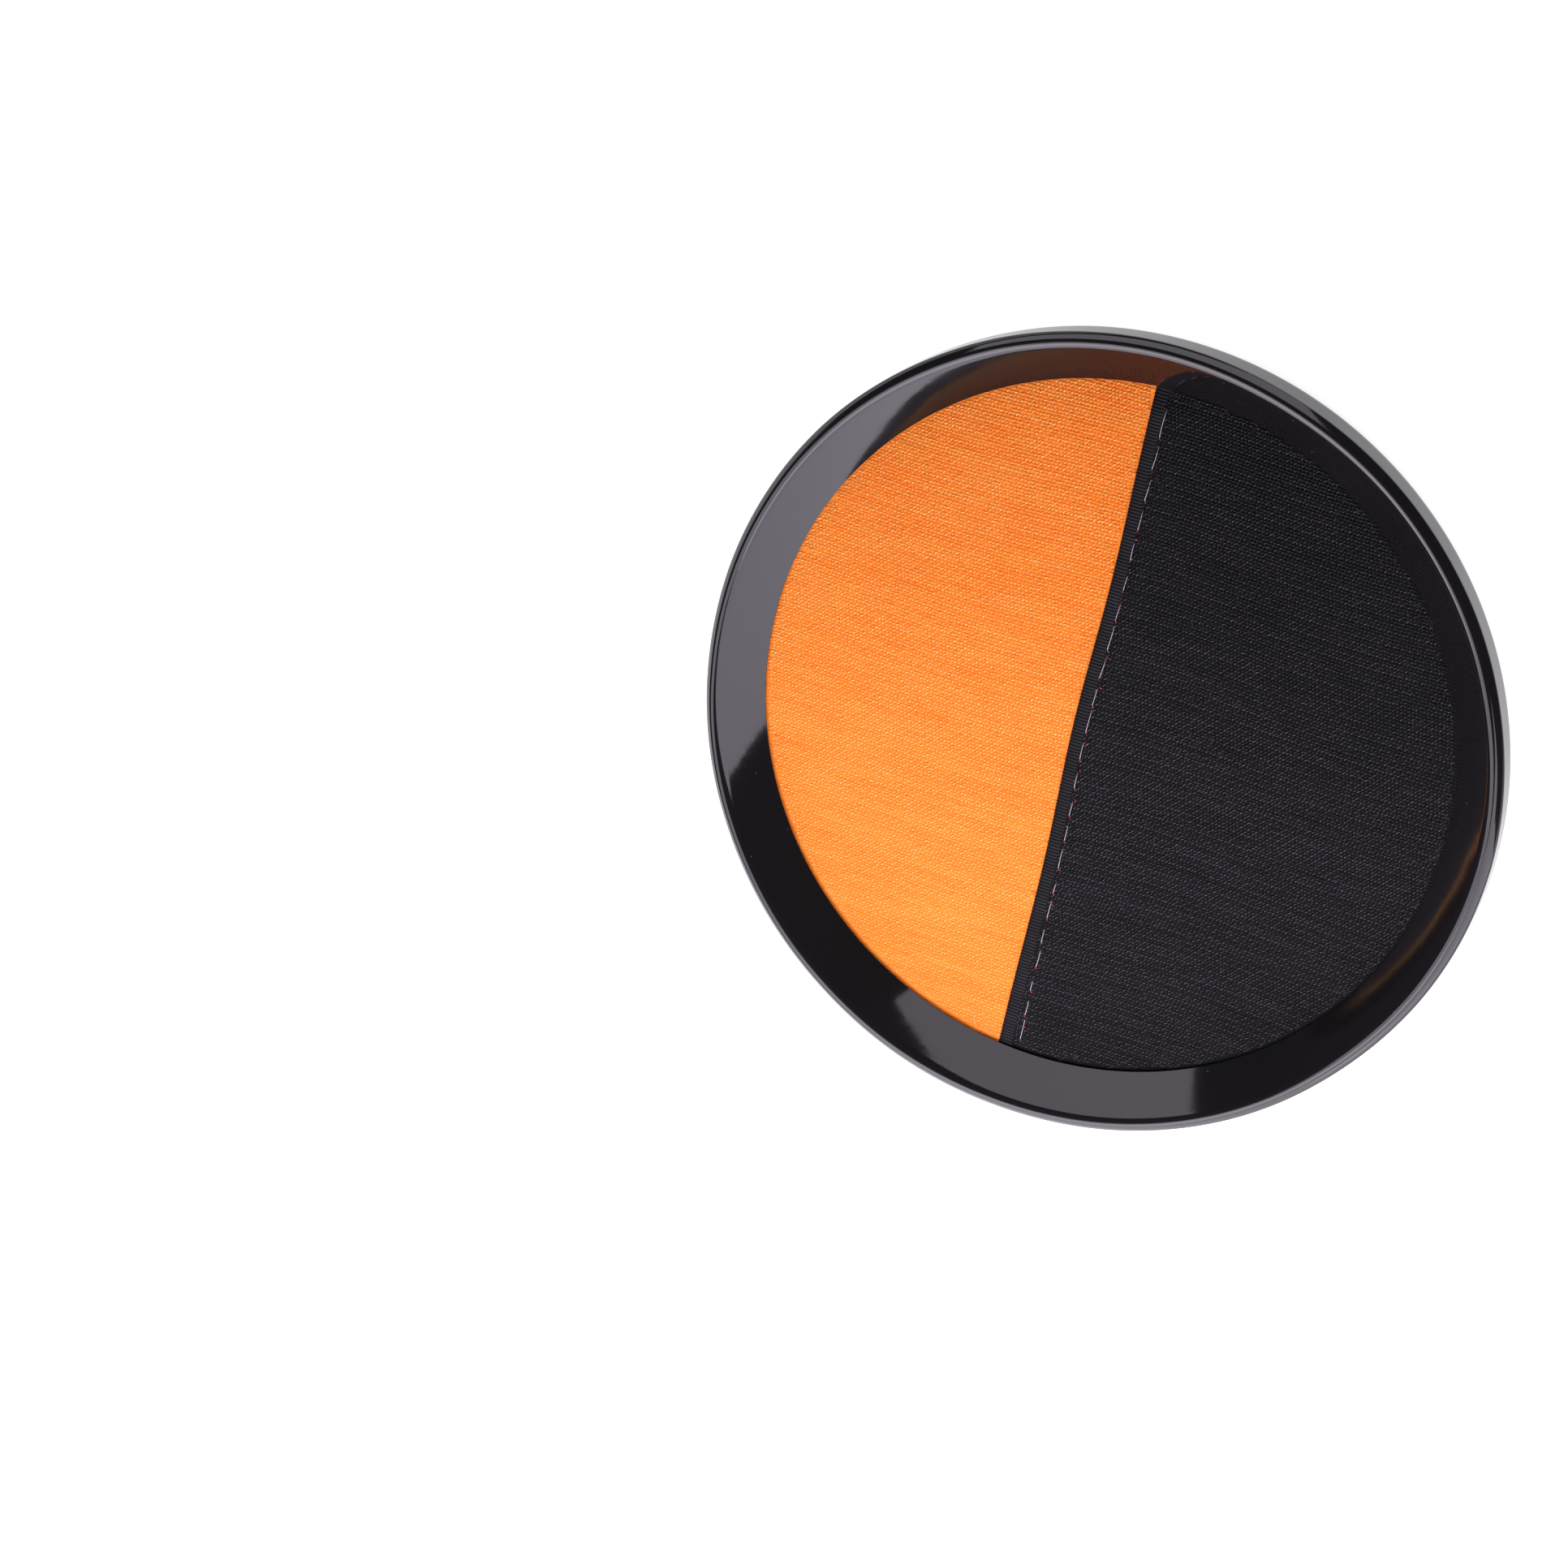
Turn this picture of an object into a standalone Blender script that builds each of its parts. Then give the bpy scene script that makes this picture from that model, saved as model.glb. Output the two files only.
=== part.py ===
"""Hook and loop catch paddle: a round face of loop cloth in a glossy ring, with a hand strap behind.

The paddle lies on its back as on a table, with the loop face up.
The origin is on the table under the centre of the ring.
+X points to the black half of the face, +Y runs along the seam, and lengths are in metres.
"""

import math

import bmesh
import bpy

# Clearance between pieces that touch on the real paddle
SEAT_GAP = 0.0003

# Ring: outer size, and the height of its crest above the face
RING_OUTER_RADIUS = 0.0925
RING_CREST_RISE = 0.0094
RING_BELT_TOP_RISE = 0.0069
RING_BELT_BOTTOM_RISE = 0.0019

# Ring: distances in from its outside to the edge of the face and to the middle of the crest
RING_FACE_INSET = 0.0118
RING_CREST_INSET = 0.0021
CREST_TURN = math.radians(139.6)
LIP_LAND = 0.0003

# Ring: outer side below the belt, which leans in towards the foot
SKIRT_LEAN = math.radians(31.0)
BELT_BEND_RADIUS = 0.0050
FOOT_EDGE_RADIUS = 0.0012
FOOT_INNER_OUTSET = 0.0011
BACK_LIP_REACH = 0.0008
BACK_LIP_THICKNESS = 0.0007

# Ring: groove that holds the edges of the cloths and the board
CLOTH_TUCK = 0.0013
TUCK_CLEARANCE = 0.0006

# Layers of the face, from the front to the back
LOOP_CLOTH_THICKNESS = 0.0012
BOARD_THICKNESS = 0.0010
BACK_CLOTH_THICKNESS = 0.0005

# Seam: the black cloth's woven edge lies over a crushed tongue of the orange cloth
SEAM_EDGE_X = -0.0064
SELVEDGE_WIDTH = 0.0031
SELVEDGE_THICKNESS = 0.0008
TONGUE_LENGTH = 0.0078
TONGUE_THICKNESS = 0.0006
SEAM_RAMP = 0.0020
SEAM_FADE = 0.0050

# Seam thread: one lockstitch line along the woven edge
SEAM_STITCH_OFFSET = 0.0036
SEAM_STITCH_LENGTH = 0.0066
THREAD_RADIUS = 0.0002
THREAD_RISE = 0.0002
THREAD_END_CLEARANCE = 0.0025

# Hand strap: a bowed band of elastic whose turned-under ends are sewn to the back cloth
STRAP_WIDTH = 0.0380
STRAP_THICKNESS = 0.0010
STRAP_HAND_GAP = 0.0046
STRAP_FLAT_LENGTH = 0.0700
STRAP_END_LENGTH = 0.0150
STRAP_END_CLEARANCE = 0.0027
STRAP_FOOT_CLEARANCE = 0.0003

# Box of stitches on each end of the strap
STRAP_STITCH_MARGIN = 0.0025
STRAP_THREAD_RADIUS = 0.00025

# Smoothness of the round pieces
RING_STEPS = 96
BEAD_STEPS = 8
BEND_STEPS = 4
FOOT_STEPS = 3
CHORD_STEPS = 20
STRAP_STEPS = 12
THREAD_STEPS_PER_STITCH = 4

# Radii that follow from the ring's outside
FACE_RADIUS = RING_OUTER_RADIUS - RING_FACE_INSET
CREST_RADIUS = RING_OUTER_RADIUS - RING_CREST_INSET
CLOTH_RADIUS = FACE_RADIUS + CLOTH_TUCK
GROOVE_RADIUS = CLOTH_RADIUS + TUCK_CLEARANCE
FOOT_INNER_RADIUS = FACE_RADIUS + FOOT_INNER_OUTSET
BACK_OPENING_RADIUS = FACE_RADIUS - BACK_LIP_REACH

# Heights of the layers, worked out from the strap upwards
STRAP_BOTTOM_Z = STRAP_FOOT_CLEARANCE
BACK_CLOTH_BOTTOM_Z = STRAP_BOTTOM_Z + STRAP_THICKNESS + STRAP_HAND_GAP
BACK_CLOTH_TOP_Z = BACK_CLOTH_BOTTOM_Z + BACK_CLOTH_THICKNESS
BOARD_BOTTOM_Z = BACK_CLOTH_TOP_Z + SEAT_GAP
BOARD_TOP_Z = BOARD_BOTTOM_Z + BOARD_THICKNESS
LOOP_CLOTH_BOTTOM_Z = BOARD_TOP_Z + SEAT_GAP
FACE_Z = LOOP_CLOTH_BOTTOM_Z + LOOP_CLOTH_THICKNESS
TONGUE_TOP_Z = LOOP_CLOTH_BOTTOM_Z + TONGUE_THICKNESS
TONGUE_END_X = SEAM_EDGE_X + TONGUE_LENGTH

# Strap ends stop a little short of the ring's back lip
STRAP_END_X = math.sqrt((BACK_OPENING_RADIUS - STRAP_END_CLEARANCE) ** 2 - (STRAP_WIDTH / 2.0) ** 2)
STRAP_SEWN_X = STRAP_END_X - STRAP_END_LENGTH
STRAP_END_TOP_Z = BACK_CLOTH_BOTTOM_Z - SEAT_GAP
STRAP_END_BOTTOM_Z = STRAP_END_TOP_Z - 2.0 * STRAP_THICKNESS


def clear_objects():
    for item in list(bpy.data.objects):
        bpy.data.objects.remove(item, do_unlink=True)


def make_material(name, colour, roughness, metallic=0.0):
    material = bpy.data.materials.new(name)
    material.use_nodes = True
    shader = material.node_tree.nodes["Principled BSDF"]
    shader.inputs["Base Color"].default_value = (*colour, 1.0)
    shader.inputs["Roughness"].default_value = roughness
    shader.inputs["Metallic"].default_value = metallic
    material.diffuse_color = (*colour, 1.0)
    return material


def add_piece(name, builder, material, sharp_angle=math.radians(30.0)):
    """Turn a finished bmesh into a named, smooth-shaded object."""
    bmesh.ops.recalc_face_normals(builder, faces=builder.faces)
    mesh = bpy.data.meshes.new(name)
    builder.to_mesh(mesh)
    builder.free()
    mesh.shade_smooth()
    mesh.set_sharp_from_angle(angle=sharp_angle)
    mesh.materials.append(material)
    piece = bpy.data.objects.new(name, mesh)
    bpy.context.scene.collection.objects.link(piece)
    return piece


def blend_step(value, start, end):
    """Smooth step from 0 at start to 1 at end."""
    share = min(max((value - start) / (end - start), 0.0), 1.0)
    return share * share * (3.0 - 2.0 * share)


def arc_points(centre, radii, first, last, steps):
    """Points (radius, height) on an elliptical arc, both ends included."""
    points = []
    for index in range(steps + 1):
        angle = first + (last - first) * index / steps
        points.append((
            centre[0] + radii[0] * math.cos(angle),
            centre[1] + radii[1] * math.sin(angle),
        ))
    return points


def bead_points():
    """Rounded crest, from the top of the inner wall over to the top of the belt."""
    radii = (RING_CREST_INSET, RING_CREST_RISE - RING_BELT_TOP_RISE)
    centre = (CREST_RADIUS, FACE_Z + RING_BELT_TOP_RISE)
    return arc_points(centre, radii, CREST_TURN, 0.0, BEAD_STEPS)


def skirt_points():
    """Bend under the belt, the leaning outer side and the rounded edge of the foot."""
    bend_centre = (RING_OUTER_RADIUS - BELT_BEND_RADIUS, FACE_Z + RING_BELT_BOTTOM_RISE)
    bend_radii = (BELT_BEND_RADIUS, BELT_BEND_RADIUS)
    bend = arc_points(bend_centre, bend_radii, 0.0, -SKIRT_LEAN, BEND_STEPS)
    bend_end_radius, bend_end_z = bend[-1]
    foot_arc_z = FOOT_EDGE_RADIUS * (1.0 - math.sin(SKIRT_LEAN))
    foot_arc_start = bend_end_radius - (bend_end_z - foot_arc_z) * math.tan(SKIRT_LEAN)
    foot_centre = (foot_arc_start - FOOT_EDGE_RADIUS * math.cos(SKIRT_LEAN), FOOT_EDGE_RADIUS)
    foot_radii = (FOOT_EDGE_RADIUS, FOOT_EDGE_RADIUS)
    foot = arc_points(foot_centre, foot_radii, -SKIRT_LEAN, -math.pi / 2.0, FOOT_STEPS)
    return bend + foot


def ring_outline():
    """Closed section of the ring as (radius, height) points, clockwise from the front lip."""
    front_lip_z = FACE_Z + SEAT_GAP
    back_lip_z = BACK_CLOTH_BOTTOM_Z - SEAT_GAP
    outline = [
        (GROOVE_RADIUS, front_lip_z),
        (FACE_RADIUS, front_lip_z),
        (FACE_RADIUS, front_lip_z + LIP_LAND),
    ]
    outline += bead_points()
    outline += skirt_points()
    outline += [
        (FOOT_INNER_RADIUS, 0.0),
        (BACK_OPENING_RADIUS, back_lip_z - BACK_LIP_THICKNESS),
        (BACK_OPENING_RADIUS, back_lip_z),
        (GROOVE_RADIUS, back_lip_z),
    ]
    return outline


def turned_ring(outline):
    """Turn a closed section once round the Z axis."""
    builder = bmesh.new()
    columns = []
    for step in range(RING_STEPS):
        angle = 2.0 * math.pi * step / RING_STEPS
        columns.append([
            builder.verts.new((radius * math.cos(angle), radius * math.sin(angle), height))
            for radius, height in outline
        ])
    for step, column in enumerate(columns):
        following = columns[(step + 1) % RING_STEPS]
        for index in range(len(outline)):
            after = (index + 1) % len(outline)
            builder.faces.new((column[index], column[after], following[after], following[index]))
    return builder


def disc(radius, bottom, top):
    """Flat round plate with its corners in line with the ring's."""
    builder = bmesh.new()
    rims = []
    for height in (bottom, top):
        rims.append([
            builder.verts.new((
                radius * math.cos(2.0 * math.pi * step / RING_STEPS),
                radius * math.sin(2.0 * math.pi * step / RING_STEPS),
                height,
            ))
            for step in range(RING_STEPS)
        ])
    builder.faces.new(rims[0])
    builder.faces.new(rims[1])
    for step in range(RING_STEPS):
        after = (step + 1) % RING_STEPS
        builder.faces.new((rims[0][step], rims[0][after], rims[1][after], rims[1][step]))
    return builder


def seam_strength(x, y):
    """1 over the face, falling to 0 where the cloth goes under the ring's lip."""
    inner_limit = FACE_RADIUS - SEAT_GAP
    return 1.0 - blend_step(math.hypot(x, y), inner_limit - SEAM_FADE, inner_limit)


def panel_stations(first_x, far_side, stops):
    """X of each row of a panel: first the given stops by the seam, then even turns round the edge."""
    first_angle = math.acos(far_side * stops[-1] / CLOTH_RADIUS)
    turns = round(first_angle / (2.0 * math.pi / RING_STEPS))
    rounds = [
        far_side * CLOTH_RADIUS * math.cos(first_angle * (1.0 - index / turns))
        for index in range(1, turns)
    ]
    return [first_x] + stops + rounds


def panel(stations, top_height, bottom_height):
    """Cloth cut as part of a round, with its own height at every point."""
    builder = bmesh.new()
    rows = []
    for x in stations:
        half_chord = math.sqrt(CLOTH_RADIUS ** 2 - x ** 2)
        row = []
        for index in range(CHORD_STEPS + 1):
            y = half_chord * math.sin(math.pi / 2.0 * (2.0 * index / CHORD_STEPS - 1.0))
            top = builder.verts.new((x, y, top_height(x, y)))
            bottom = builder.verts.new((x, y, bottom_height(x, y)))
            row.append((top, bottom))
        rows.append(row)
    for near, far in zip(rows, rows[1:]):
        for index in range(CHORD_STEPS):
            for side in (0, 1):
                builder.faces.new((
                    near[index][side], near[index + 1][side], far[index + 1][side], far[index][side],
                ))
        for end in (0, CHORD_STEPS):
            builder.faces.new((near[end][0], near[end][1], far[end][1], far[end][0]))
    for row in (rows[0], rows[-1]):
        for index in range(CHORD_STEPS):
            builder.faces.new((
                row[index][0], row[index + 1][0], row[index + 1][1], row[index][1],
            ))
    return builder


def orange_top(x, y):
    """Full pile up to the seam, then a tongue crushed under the black cloth."""
    return FACE_Z - (FACE_Z - TONGUE_TOP_Z) * blend_step(x, SEAM_EDGE_X - SEAM_RAMP, SEAM_EDGE_X)


def orange_bottom(x, y):
    """Lies flat on the board."""
    return LOOP_CLOTH_BOTTOM_Z


def black_bottom(x, y):
    """Rides over the tongue and comes down to the board beyond it."""
    raised = TONGUE_TOP_Z + SEAT_GAP
    ramp_start = TONGUE_END_X + SEAT_GAP
    drop = blend_step(x, ramp_start, ramp_start + SEAM_RAMP)
    return raised - (raised - LOOP_CLOTH_BOTTOM_Z) * drop


def black_top(x, y):
    """Woven edge stands a little proud of the face, and sinks to it beyond the tongue."""
    proud = TONGUE_TOP_Z + SEAT_GAP + SELVEDGE_THICKNESS - FACE_Z
    level_end = SEAM_EDGE_X + SELVEDGE_WIDTH + SEAM_RAMP
    slope_end = TONGUE_END_X + 2.0 * SEAM_RAMP
    over_seam = 1.0 - blend_step(x, level_end, slope_end)
    return FACE_Z + proud * over_seam * seam_strength(x, y)


def make_orange_panel(material):
    stops = [SEAM_EDGE_X, SEAM_EDGE_X - SEAM_RAMP / 2.0, SEAM_EDGE_X - SEAM_RAMP]
    stations = panel_stations(TONGUE_END_X, -1.0, stops)
    return add_piece("orange_panel", panel(stations, orange_top, orange_bottom), material)


def make_black_panel(material):
    selvedge_end = SEAM_EDGE_X + SELVEDGE_WIDTH
    ramp_start = TONGUE_END_X + SEAT_GAP
    stops = [
        selvedge_end,
        selvedge_end + SEAM_RAMP,
        ramp_start,
        ramp_start + SEAM_RAMP / 2.0,
        ramp_start + SEAM_RAMP,
        ramp_start + 2.0 * SEAM_RAMP,
    ]
    stations = panel_stations(SEAM_EDGE_X, 1.0, stops)
    return add_piece("black_panel", panel(stations, black_top, black_bottom), material)


def tube(path, radius, sides=6, closed=False):
    """Round bar that follows a list of points lying nearly level."""
    builder = bmesh.new()
    rings = []
    count = len(path)
    for index, point in enumerate(path):
        before = path[index - 1] if closed or index > 0 else point
        after = path[(index + 1) % count] if closed or index < count - 1 else point
        length = math.hypot(after[0] - before[0], after[1] - before[1])
        across = ((before[1] - after[1]) / length, (after[0] - before[0]) / length)
        ring = []
        for side in range(sides):
            angle = 2.0 * math.pi * side / sides
            reach = radius * math.cos(angle)
            ring.append(builder.verts.new((
                point[0] + across[0] * reach,
                point[1] + across[1] * reach,
                point[2] + radius * math.sin(angle),
            )))
        rings.append(ring)
    pairs = list(zip(rings, rings[1:]))
    if closed:
        pairs.append((rings[-1], rings[0]))
    for near, far in pairs:
        for side in range(sides):
            after = (side + 1) % sides
            builder.faces.new((near[side], near[after], far[after], far[side]))
    if not closed:
        builder.faces.new(rings[0])
        builder.faces.new(rings[-1])
    return builder


def make_seam_thread(material):
    """Thread that humps up between the holes of each stitch, just above the woven edge."""
    x = SEAM_EDGE_X + SEAM_STITCH_OFFSET
    reach = math.sqrt((FACE_RADIUS - THREAD_END_CLEARANCE) ** 2 - x ** 2)
    stitches = round(2.0 * reach / SEAM_STITCH_LENGTH)
    steps = stitches * THREAD_STEPS_PER_STITCH
    path = []
    for index in range(steps + 1):
        y = -reach + 2.0 * reach * index / steps
        hump = THREAD_RISE * abs(math.sin(math.pi * index / THREAD_STEPS_PER_STITCH))
        path.append((x, y, black_top(x, y) + SEAT_GAP + THREAD_RADIUS + hump))
    return add_piece("seam_thread", tube(path, THREAD_RADIUS), material)


def strap_drop(x):
    """How far the strap's upper side hangs below the back cloth at this place."""
    rise = blend_step(abs(x), STRAP_FLAT_LENGTH / 2.0, STRAP_SEWN_X)
    return STRAP_HAND_GAP + (SEAT_GAP - STRAP_HAND_GAP) * rise


def strap_stations():
    """X along the strap from the middle of one end to the other, denser on the ramps."""
    ramp_start = STRAP_FLAT_LENGTH / 2.0
    half = [
        ramp_start + (STRAP_SEWN_X - ramp_start) * index / STRAP_STEPS
        for index in range(STRAP_STEPS + 1)
    ]
    return [-x for x in reversed(half)] + half


def strap_side_outline():
    """Side view of the strap as (x, height) points, with a double layer at each end."""
    top, bottom = STRAP_END_TOP_Z, STRAP_END_BOTTOM_Z
    upper = [(x, BACK_CLOTH_BOTTOM_Z - strap_drop(x)) for x in strap_stations()]
    lower = [(x, height - STRAP_THICKNESS) for x, height in upper]
    left_end = [(-STRAP_SEWN_X, bottom), (-STRAP_END_X, bottom), (-STRAP_END_X, top)]
    right_end = [(STRAP_END_X, top), (STRAP_END_X, bottom), (STRAP_SEWN_X, bottom)]
    return upper + right_end + list(reversed(lower)) + left_end


def make_hand_strap(material):
    outline = strap_side_outline()
    builder = bmesh.new()
    sides = []
    for y in (-STRAP_WIDTH / 2.0, STRAP_WIDTH / 2.0):
        sides.append([builder.verts.new((x, y, height)) for x, height in outline])
    builder.faces.new(sides[0])
    builder.faces.new(sides[1])
    for index in range(len(outline)):
        after = (index + 1) % len(outline)
        builder.faces.new((sides[0][index], sides[0][after], sides[1][after], sides[1][index]))
    return add_piece("hand_strap", builder, material)


def make_strap_stitch(name, side, material):
    """Box of stitches on the underside of one sewn end of the strap."""
    outer_x = STRAP_END_X - STRAP_STITCH_MARGIN
    inner_x = STRAP_SEWN_X + STRAP_STITCH_MARGIN
    reach = STRAP_WIDTH / 2.0 - STRAP_STITCH_MARGIN
    height = STRAP_END_BOTTOM_Z - SEAT_GAP - STRAP_THREAD_RADIUS
    corners = [(inner_x, -reach), (outer_x, -reach), (outer_x, reach), (inner_x, reach)]
    path = [(side * x, y, height) for x, y in corners]
    return add_piece(name, tube(path, STRAP_THREAD_RADIUS, closed=True), material)


def build_paddle():
    clear_objects()
    glossy_black = make_material("glossy_black_vinyl", (0.006, 0.006, 0.007), 0.12)
    orange_loop = make_material("orange_loop_cloth", (1.0, 0.22, 0.03), 0.85)
    black_loop = make_material("black_loop_cloth", (0.014, 0.013, 0.016), 0.80)
    grey_thread = make_material("grey_seam_thread", (0.55, 0.52, 0.53), 0.35)
    board_grey = make_material("grey_board", (0.20, 0.20, 0.20), 0.60)
    black_cloth = make_material("black_back_cloth", (0.012, 0.012, 0.013), 0.75)
    black_elastic = make_material("black_elastic", (0.010, 0.010, 0.011), 0.70)
    black_thread = make_material("black_thread", (0.020, 0.020, 0.022), 0.55)

    add_piece("rim", turned_ring(ring_outline()), glossy_black)
    make_orange_panel(orange_loop)
    make_black_panel(black_loop)
    make_seam_thread(grey_thread)
    add_piece("face_board", disc(CLOTH_RADIUS, BOARD_BOTTOM_Z, BOARD_TOP_Z), board_grey)
    add_piece("back_cloth", disc(CLOTH_RADIUS, BACK_CLOTH_BOTTOM_Z, BACK_CLOTH_TOP_Z), black_cloth)
    make_hand_strap(black_elastic)
    make_strap_stitch("strap_stitch_left", -1.0, black_thread)
    make_strap_stitch("strap_stitch_right", 1.0, black_thread)


build_paddle()
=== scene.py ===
"""Hook and loop catch paddle, lying face up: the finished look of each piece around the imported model.

Lengths are in metres. The origin is on the table under the ring's centre, +X points to the black half
of the face, +Y runs along the seam and +Z points out of the loop cloth.
"""

import math
import random

import bpy
from mathutils import Matrix, Vector, noise


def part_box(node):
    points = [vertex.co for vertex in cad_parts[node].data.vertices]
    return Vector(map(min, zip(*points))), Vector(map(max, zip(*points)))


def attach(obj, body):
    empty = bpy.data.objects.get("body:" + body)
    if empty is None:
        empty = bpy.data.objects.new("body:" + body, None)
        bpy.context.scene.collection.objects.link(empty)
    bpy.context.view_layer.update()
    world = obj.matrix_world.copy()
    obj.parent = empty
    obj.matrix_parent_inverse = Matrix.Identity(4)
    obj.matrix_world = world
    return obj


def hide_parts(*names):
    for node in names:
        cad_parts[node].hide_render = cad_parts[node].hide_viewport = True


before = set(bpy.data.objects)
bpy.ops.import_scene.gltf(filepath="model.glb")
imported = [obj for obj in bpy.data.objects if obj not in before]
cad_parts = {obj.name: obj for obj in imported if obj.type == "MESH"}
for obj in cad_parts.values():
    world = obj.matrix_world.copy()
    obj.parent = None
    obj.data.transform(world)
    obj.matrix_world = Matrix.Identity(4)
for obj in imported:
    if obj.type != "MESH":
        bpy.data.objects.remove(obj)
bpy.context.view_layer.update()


# Face board
# A thin disc of plain grey plastic sheet that keeps the face flat while the strap pulls on the back.
# It is die cut, and the ring's groove holds its edge between the cloths.

def new_finish(name):
    """Start a material: returns it with its node tree and its surface shader."""
    finish = bpy.data.materials.new(name)
    finish.use_nodes = True
    return finish, finish.node_tree, finish.node_tree.nodes["Principled BSDF"]


def add_node(tree, kind, sockets, **settings):
    """Add a node. Each socket gets either a plain value or a link from another node's output."""
    node = tree.nodes.new("ShaderNode" + kind)
    for setting, value in settings.items():
        setattr(node, setting, value)
    for socket, value in sockets.items():
        if isinstance(value, bpy.types.NodeSocket):
            tree.links.new(value, node.inputs[socket])
        else:
            node.inputs[socket].default_value = value
    return node


def place_on_piece(tree, stretch=(1.0, 1.0, 1.0)):
    """Coordinates in metres that stay on the piece, stretched along its axes."""
    coordinates = add_node(tree, "TexCoord", {})
    sockets = {"Vector": coordinates.outputs["Object"], "Scale": stretch}
    return add_node(tree, "Mapping", sockets).outputs["Vector"]


def grain(tree, size, detail=2.0, stretch=(1.0, 1.0, 1.0)):
    """Cloudy noise from 0 to 1 whose patches are about as wide as the given size."""
    sockets = {"Vector": place_on_piece(tree, stretch), "Scale": 1.0 / size, "Detail": detail}
    return add_node(tree, "TexNoise", sockets).outputs["Fac"]


def spread(tree, value, low, high, start=0.0, end=1.0):
    """Carry a value that runs from start to end over to the range from low to high."""
    sockets = {"Value": value, "From Min": start, "From Max": end, "To Min": low, "To Max": high}
    return add_node(tree, "MapRange", sockets).outputs["Result"]


def tone(tree, share, dark, light):
    """Mix two colours by a share from 0 to 1. Each is a plain colour or comes from another node."""
    dark, light = (
        colour if isinstance(colour, bpy.types.NodeSocket) else (*colour, 1.0) for colour in (dark, light)
    )
    sockets = {"Factor": share, 6: dark, 7: light}
    return add_node(tree, "Mix", sockets, data_type="RGBA").outputs[2]


def raise_bumps(tree, shader, height, depth, strength=1.0):
    """Bump the surface by a height from 0 to 1 that stands for the given depth."""
    bump = add_node(tree, "Bump", {"Height": height, "Distance": depth, "Strength": strength})
    tree.links.new(bump.outputs["Normal"], shader.inputs["Normal"])


BOARD_CLOUD = 0.006
BOARD_PIT = 0.0004
BOARD_PIT_DEPTH = 0.00002
BOARD_DARK = (0.17, 0.17, 0.168)
BOARD_LIGHT = (0.23, 0.23, 0.228)

board_finish, tree, shader = new_finish("board_plastic")
board_clouds = grain(tree, BOARD_CLOUD, 4.0)
tree.links.new(tone(tree, board_clouds, BOARD_DARK, BOARD_LIGHT), shader.inputs["Base Color"])
tree.links.new(spread(tree, board_clouds, 0.5, 0.7), shader.inputs["Roughness"])
raise_bumps(tree, shader, grain(tree, BOARD_PIT, 3.0), BOARD_PIT_DEPTH)

face_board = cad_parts["face_board"]
face_board.data.materials.clear()
face_board.data.materials.append(board_finish)
CLOTH_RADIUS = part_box("face_board")[1].x


# Back cloth
# A disc of plain woven black cloth that closes the back, cut to the same round as the board.
# It is pulled tight in the ring's groove, and the strap is sewn to it before the paddle is put together.

BACK_CELL = 0.0012
BACK_PUCKER = 0.00022
PUCKER_REACH = 0.020
BACK_YARN = 0.00045
BACK_YARN_RISE = 0.00012
BACK_WEAR = 0.012
BACK_CLOTH_DARK = (0.0075, 0.0075, 0.0085)
BACK_CLOTH_LIGHT = (0.020, 0.020, 0.022)

back_low, back_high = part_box("back_cloth")
strap_low, strap_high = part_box("hand_strap")


def even_lines(start, end, spacing):
    """Evenly spaced values from start to end, about as far apart as asked."""
    count = max(1, round((end - start) / spacing))
    return [start + (end - start) * index / count for index in range(count + 1)]


def blend_step(value, start, end):
    """Smooth step from 0 at start to 1 at end."""
    share = min(max((value - start) / (end - start), 0.0), 1.0)
    return share * share * (3.0 - 2.0 * share)


def straight(x, y):
    """Cloth whose threads run straight."""
    return x, y


def make_piece(name, points, faces, crease=180.0, inside_out=False):
    """Make one smooth piece, sharp where its faces turn by more than the crease, fixed to the paddle."""
    mesh = bpy.data.meshes.new(name)
    mesh.from_pydata(points, [], faces)
    if inside_out:
        mesh.flip_normals()
    mesh.shade_smooth()
    if crease < 180.0:
        mesh.set_sharp_from_angle(angle=math.radians(crease))
    piece = bpy.data.objects.new(name, mesh)
    bpy.context.scene.collection.objects.link(piece)
    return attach(piece, "root")


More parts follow.
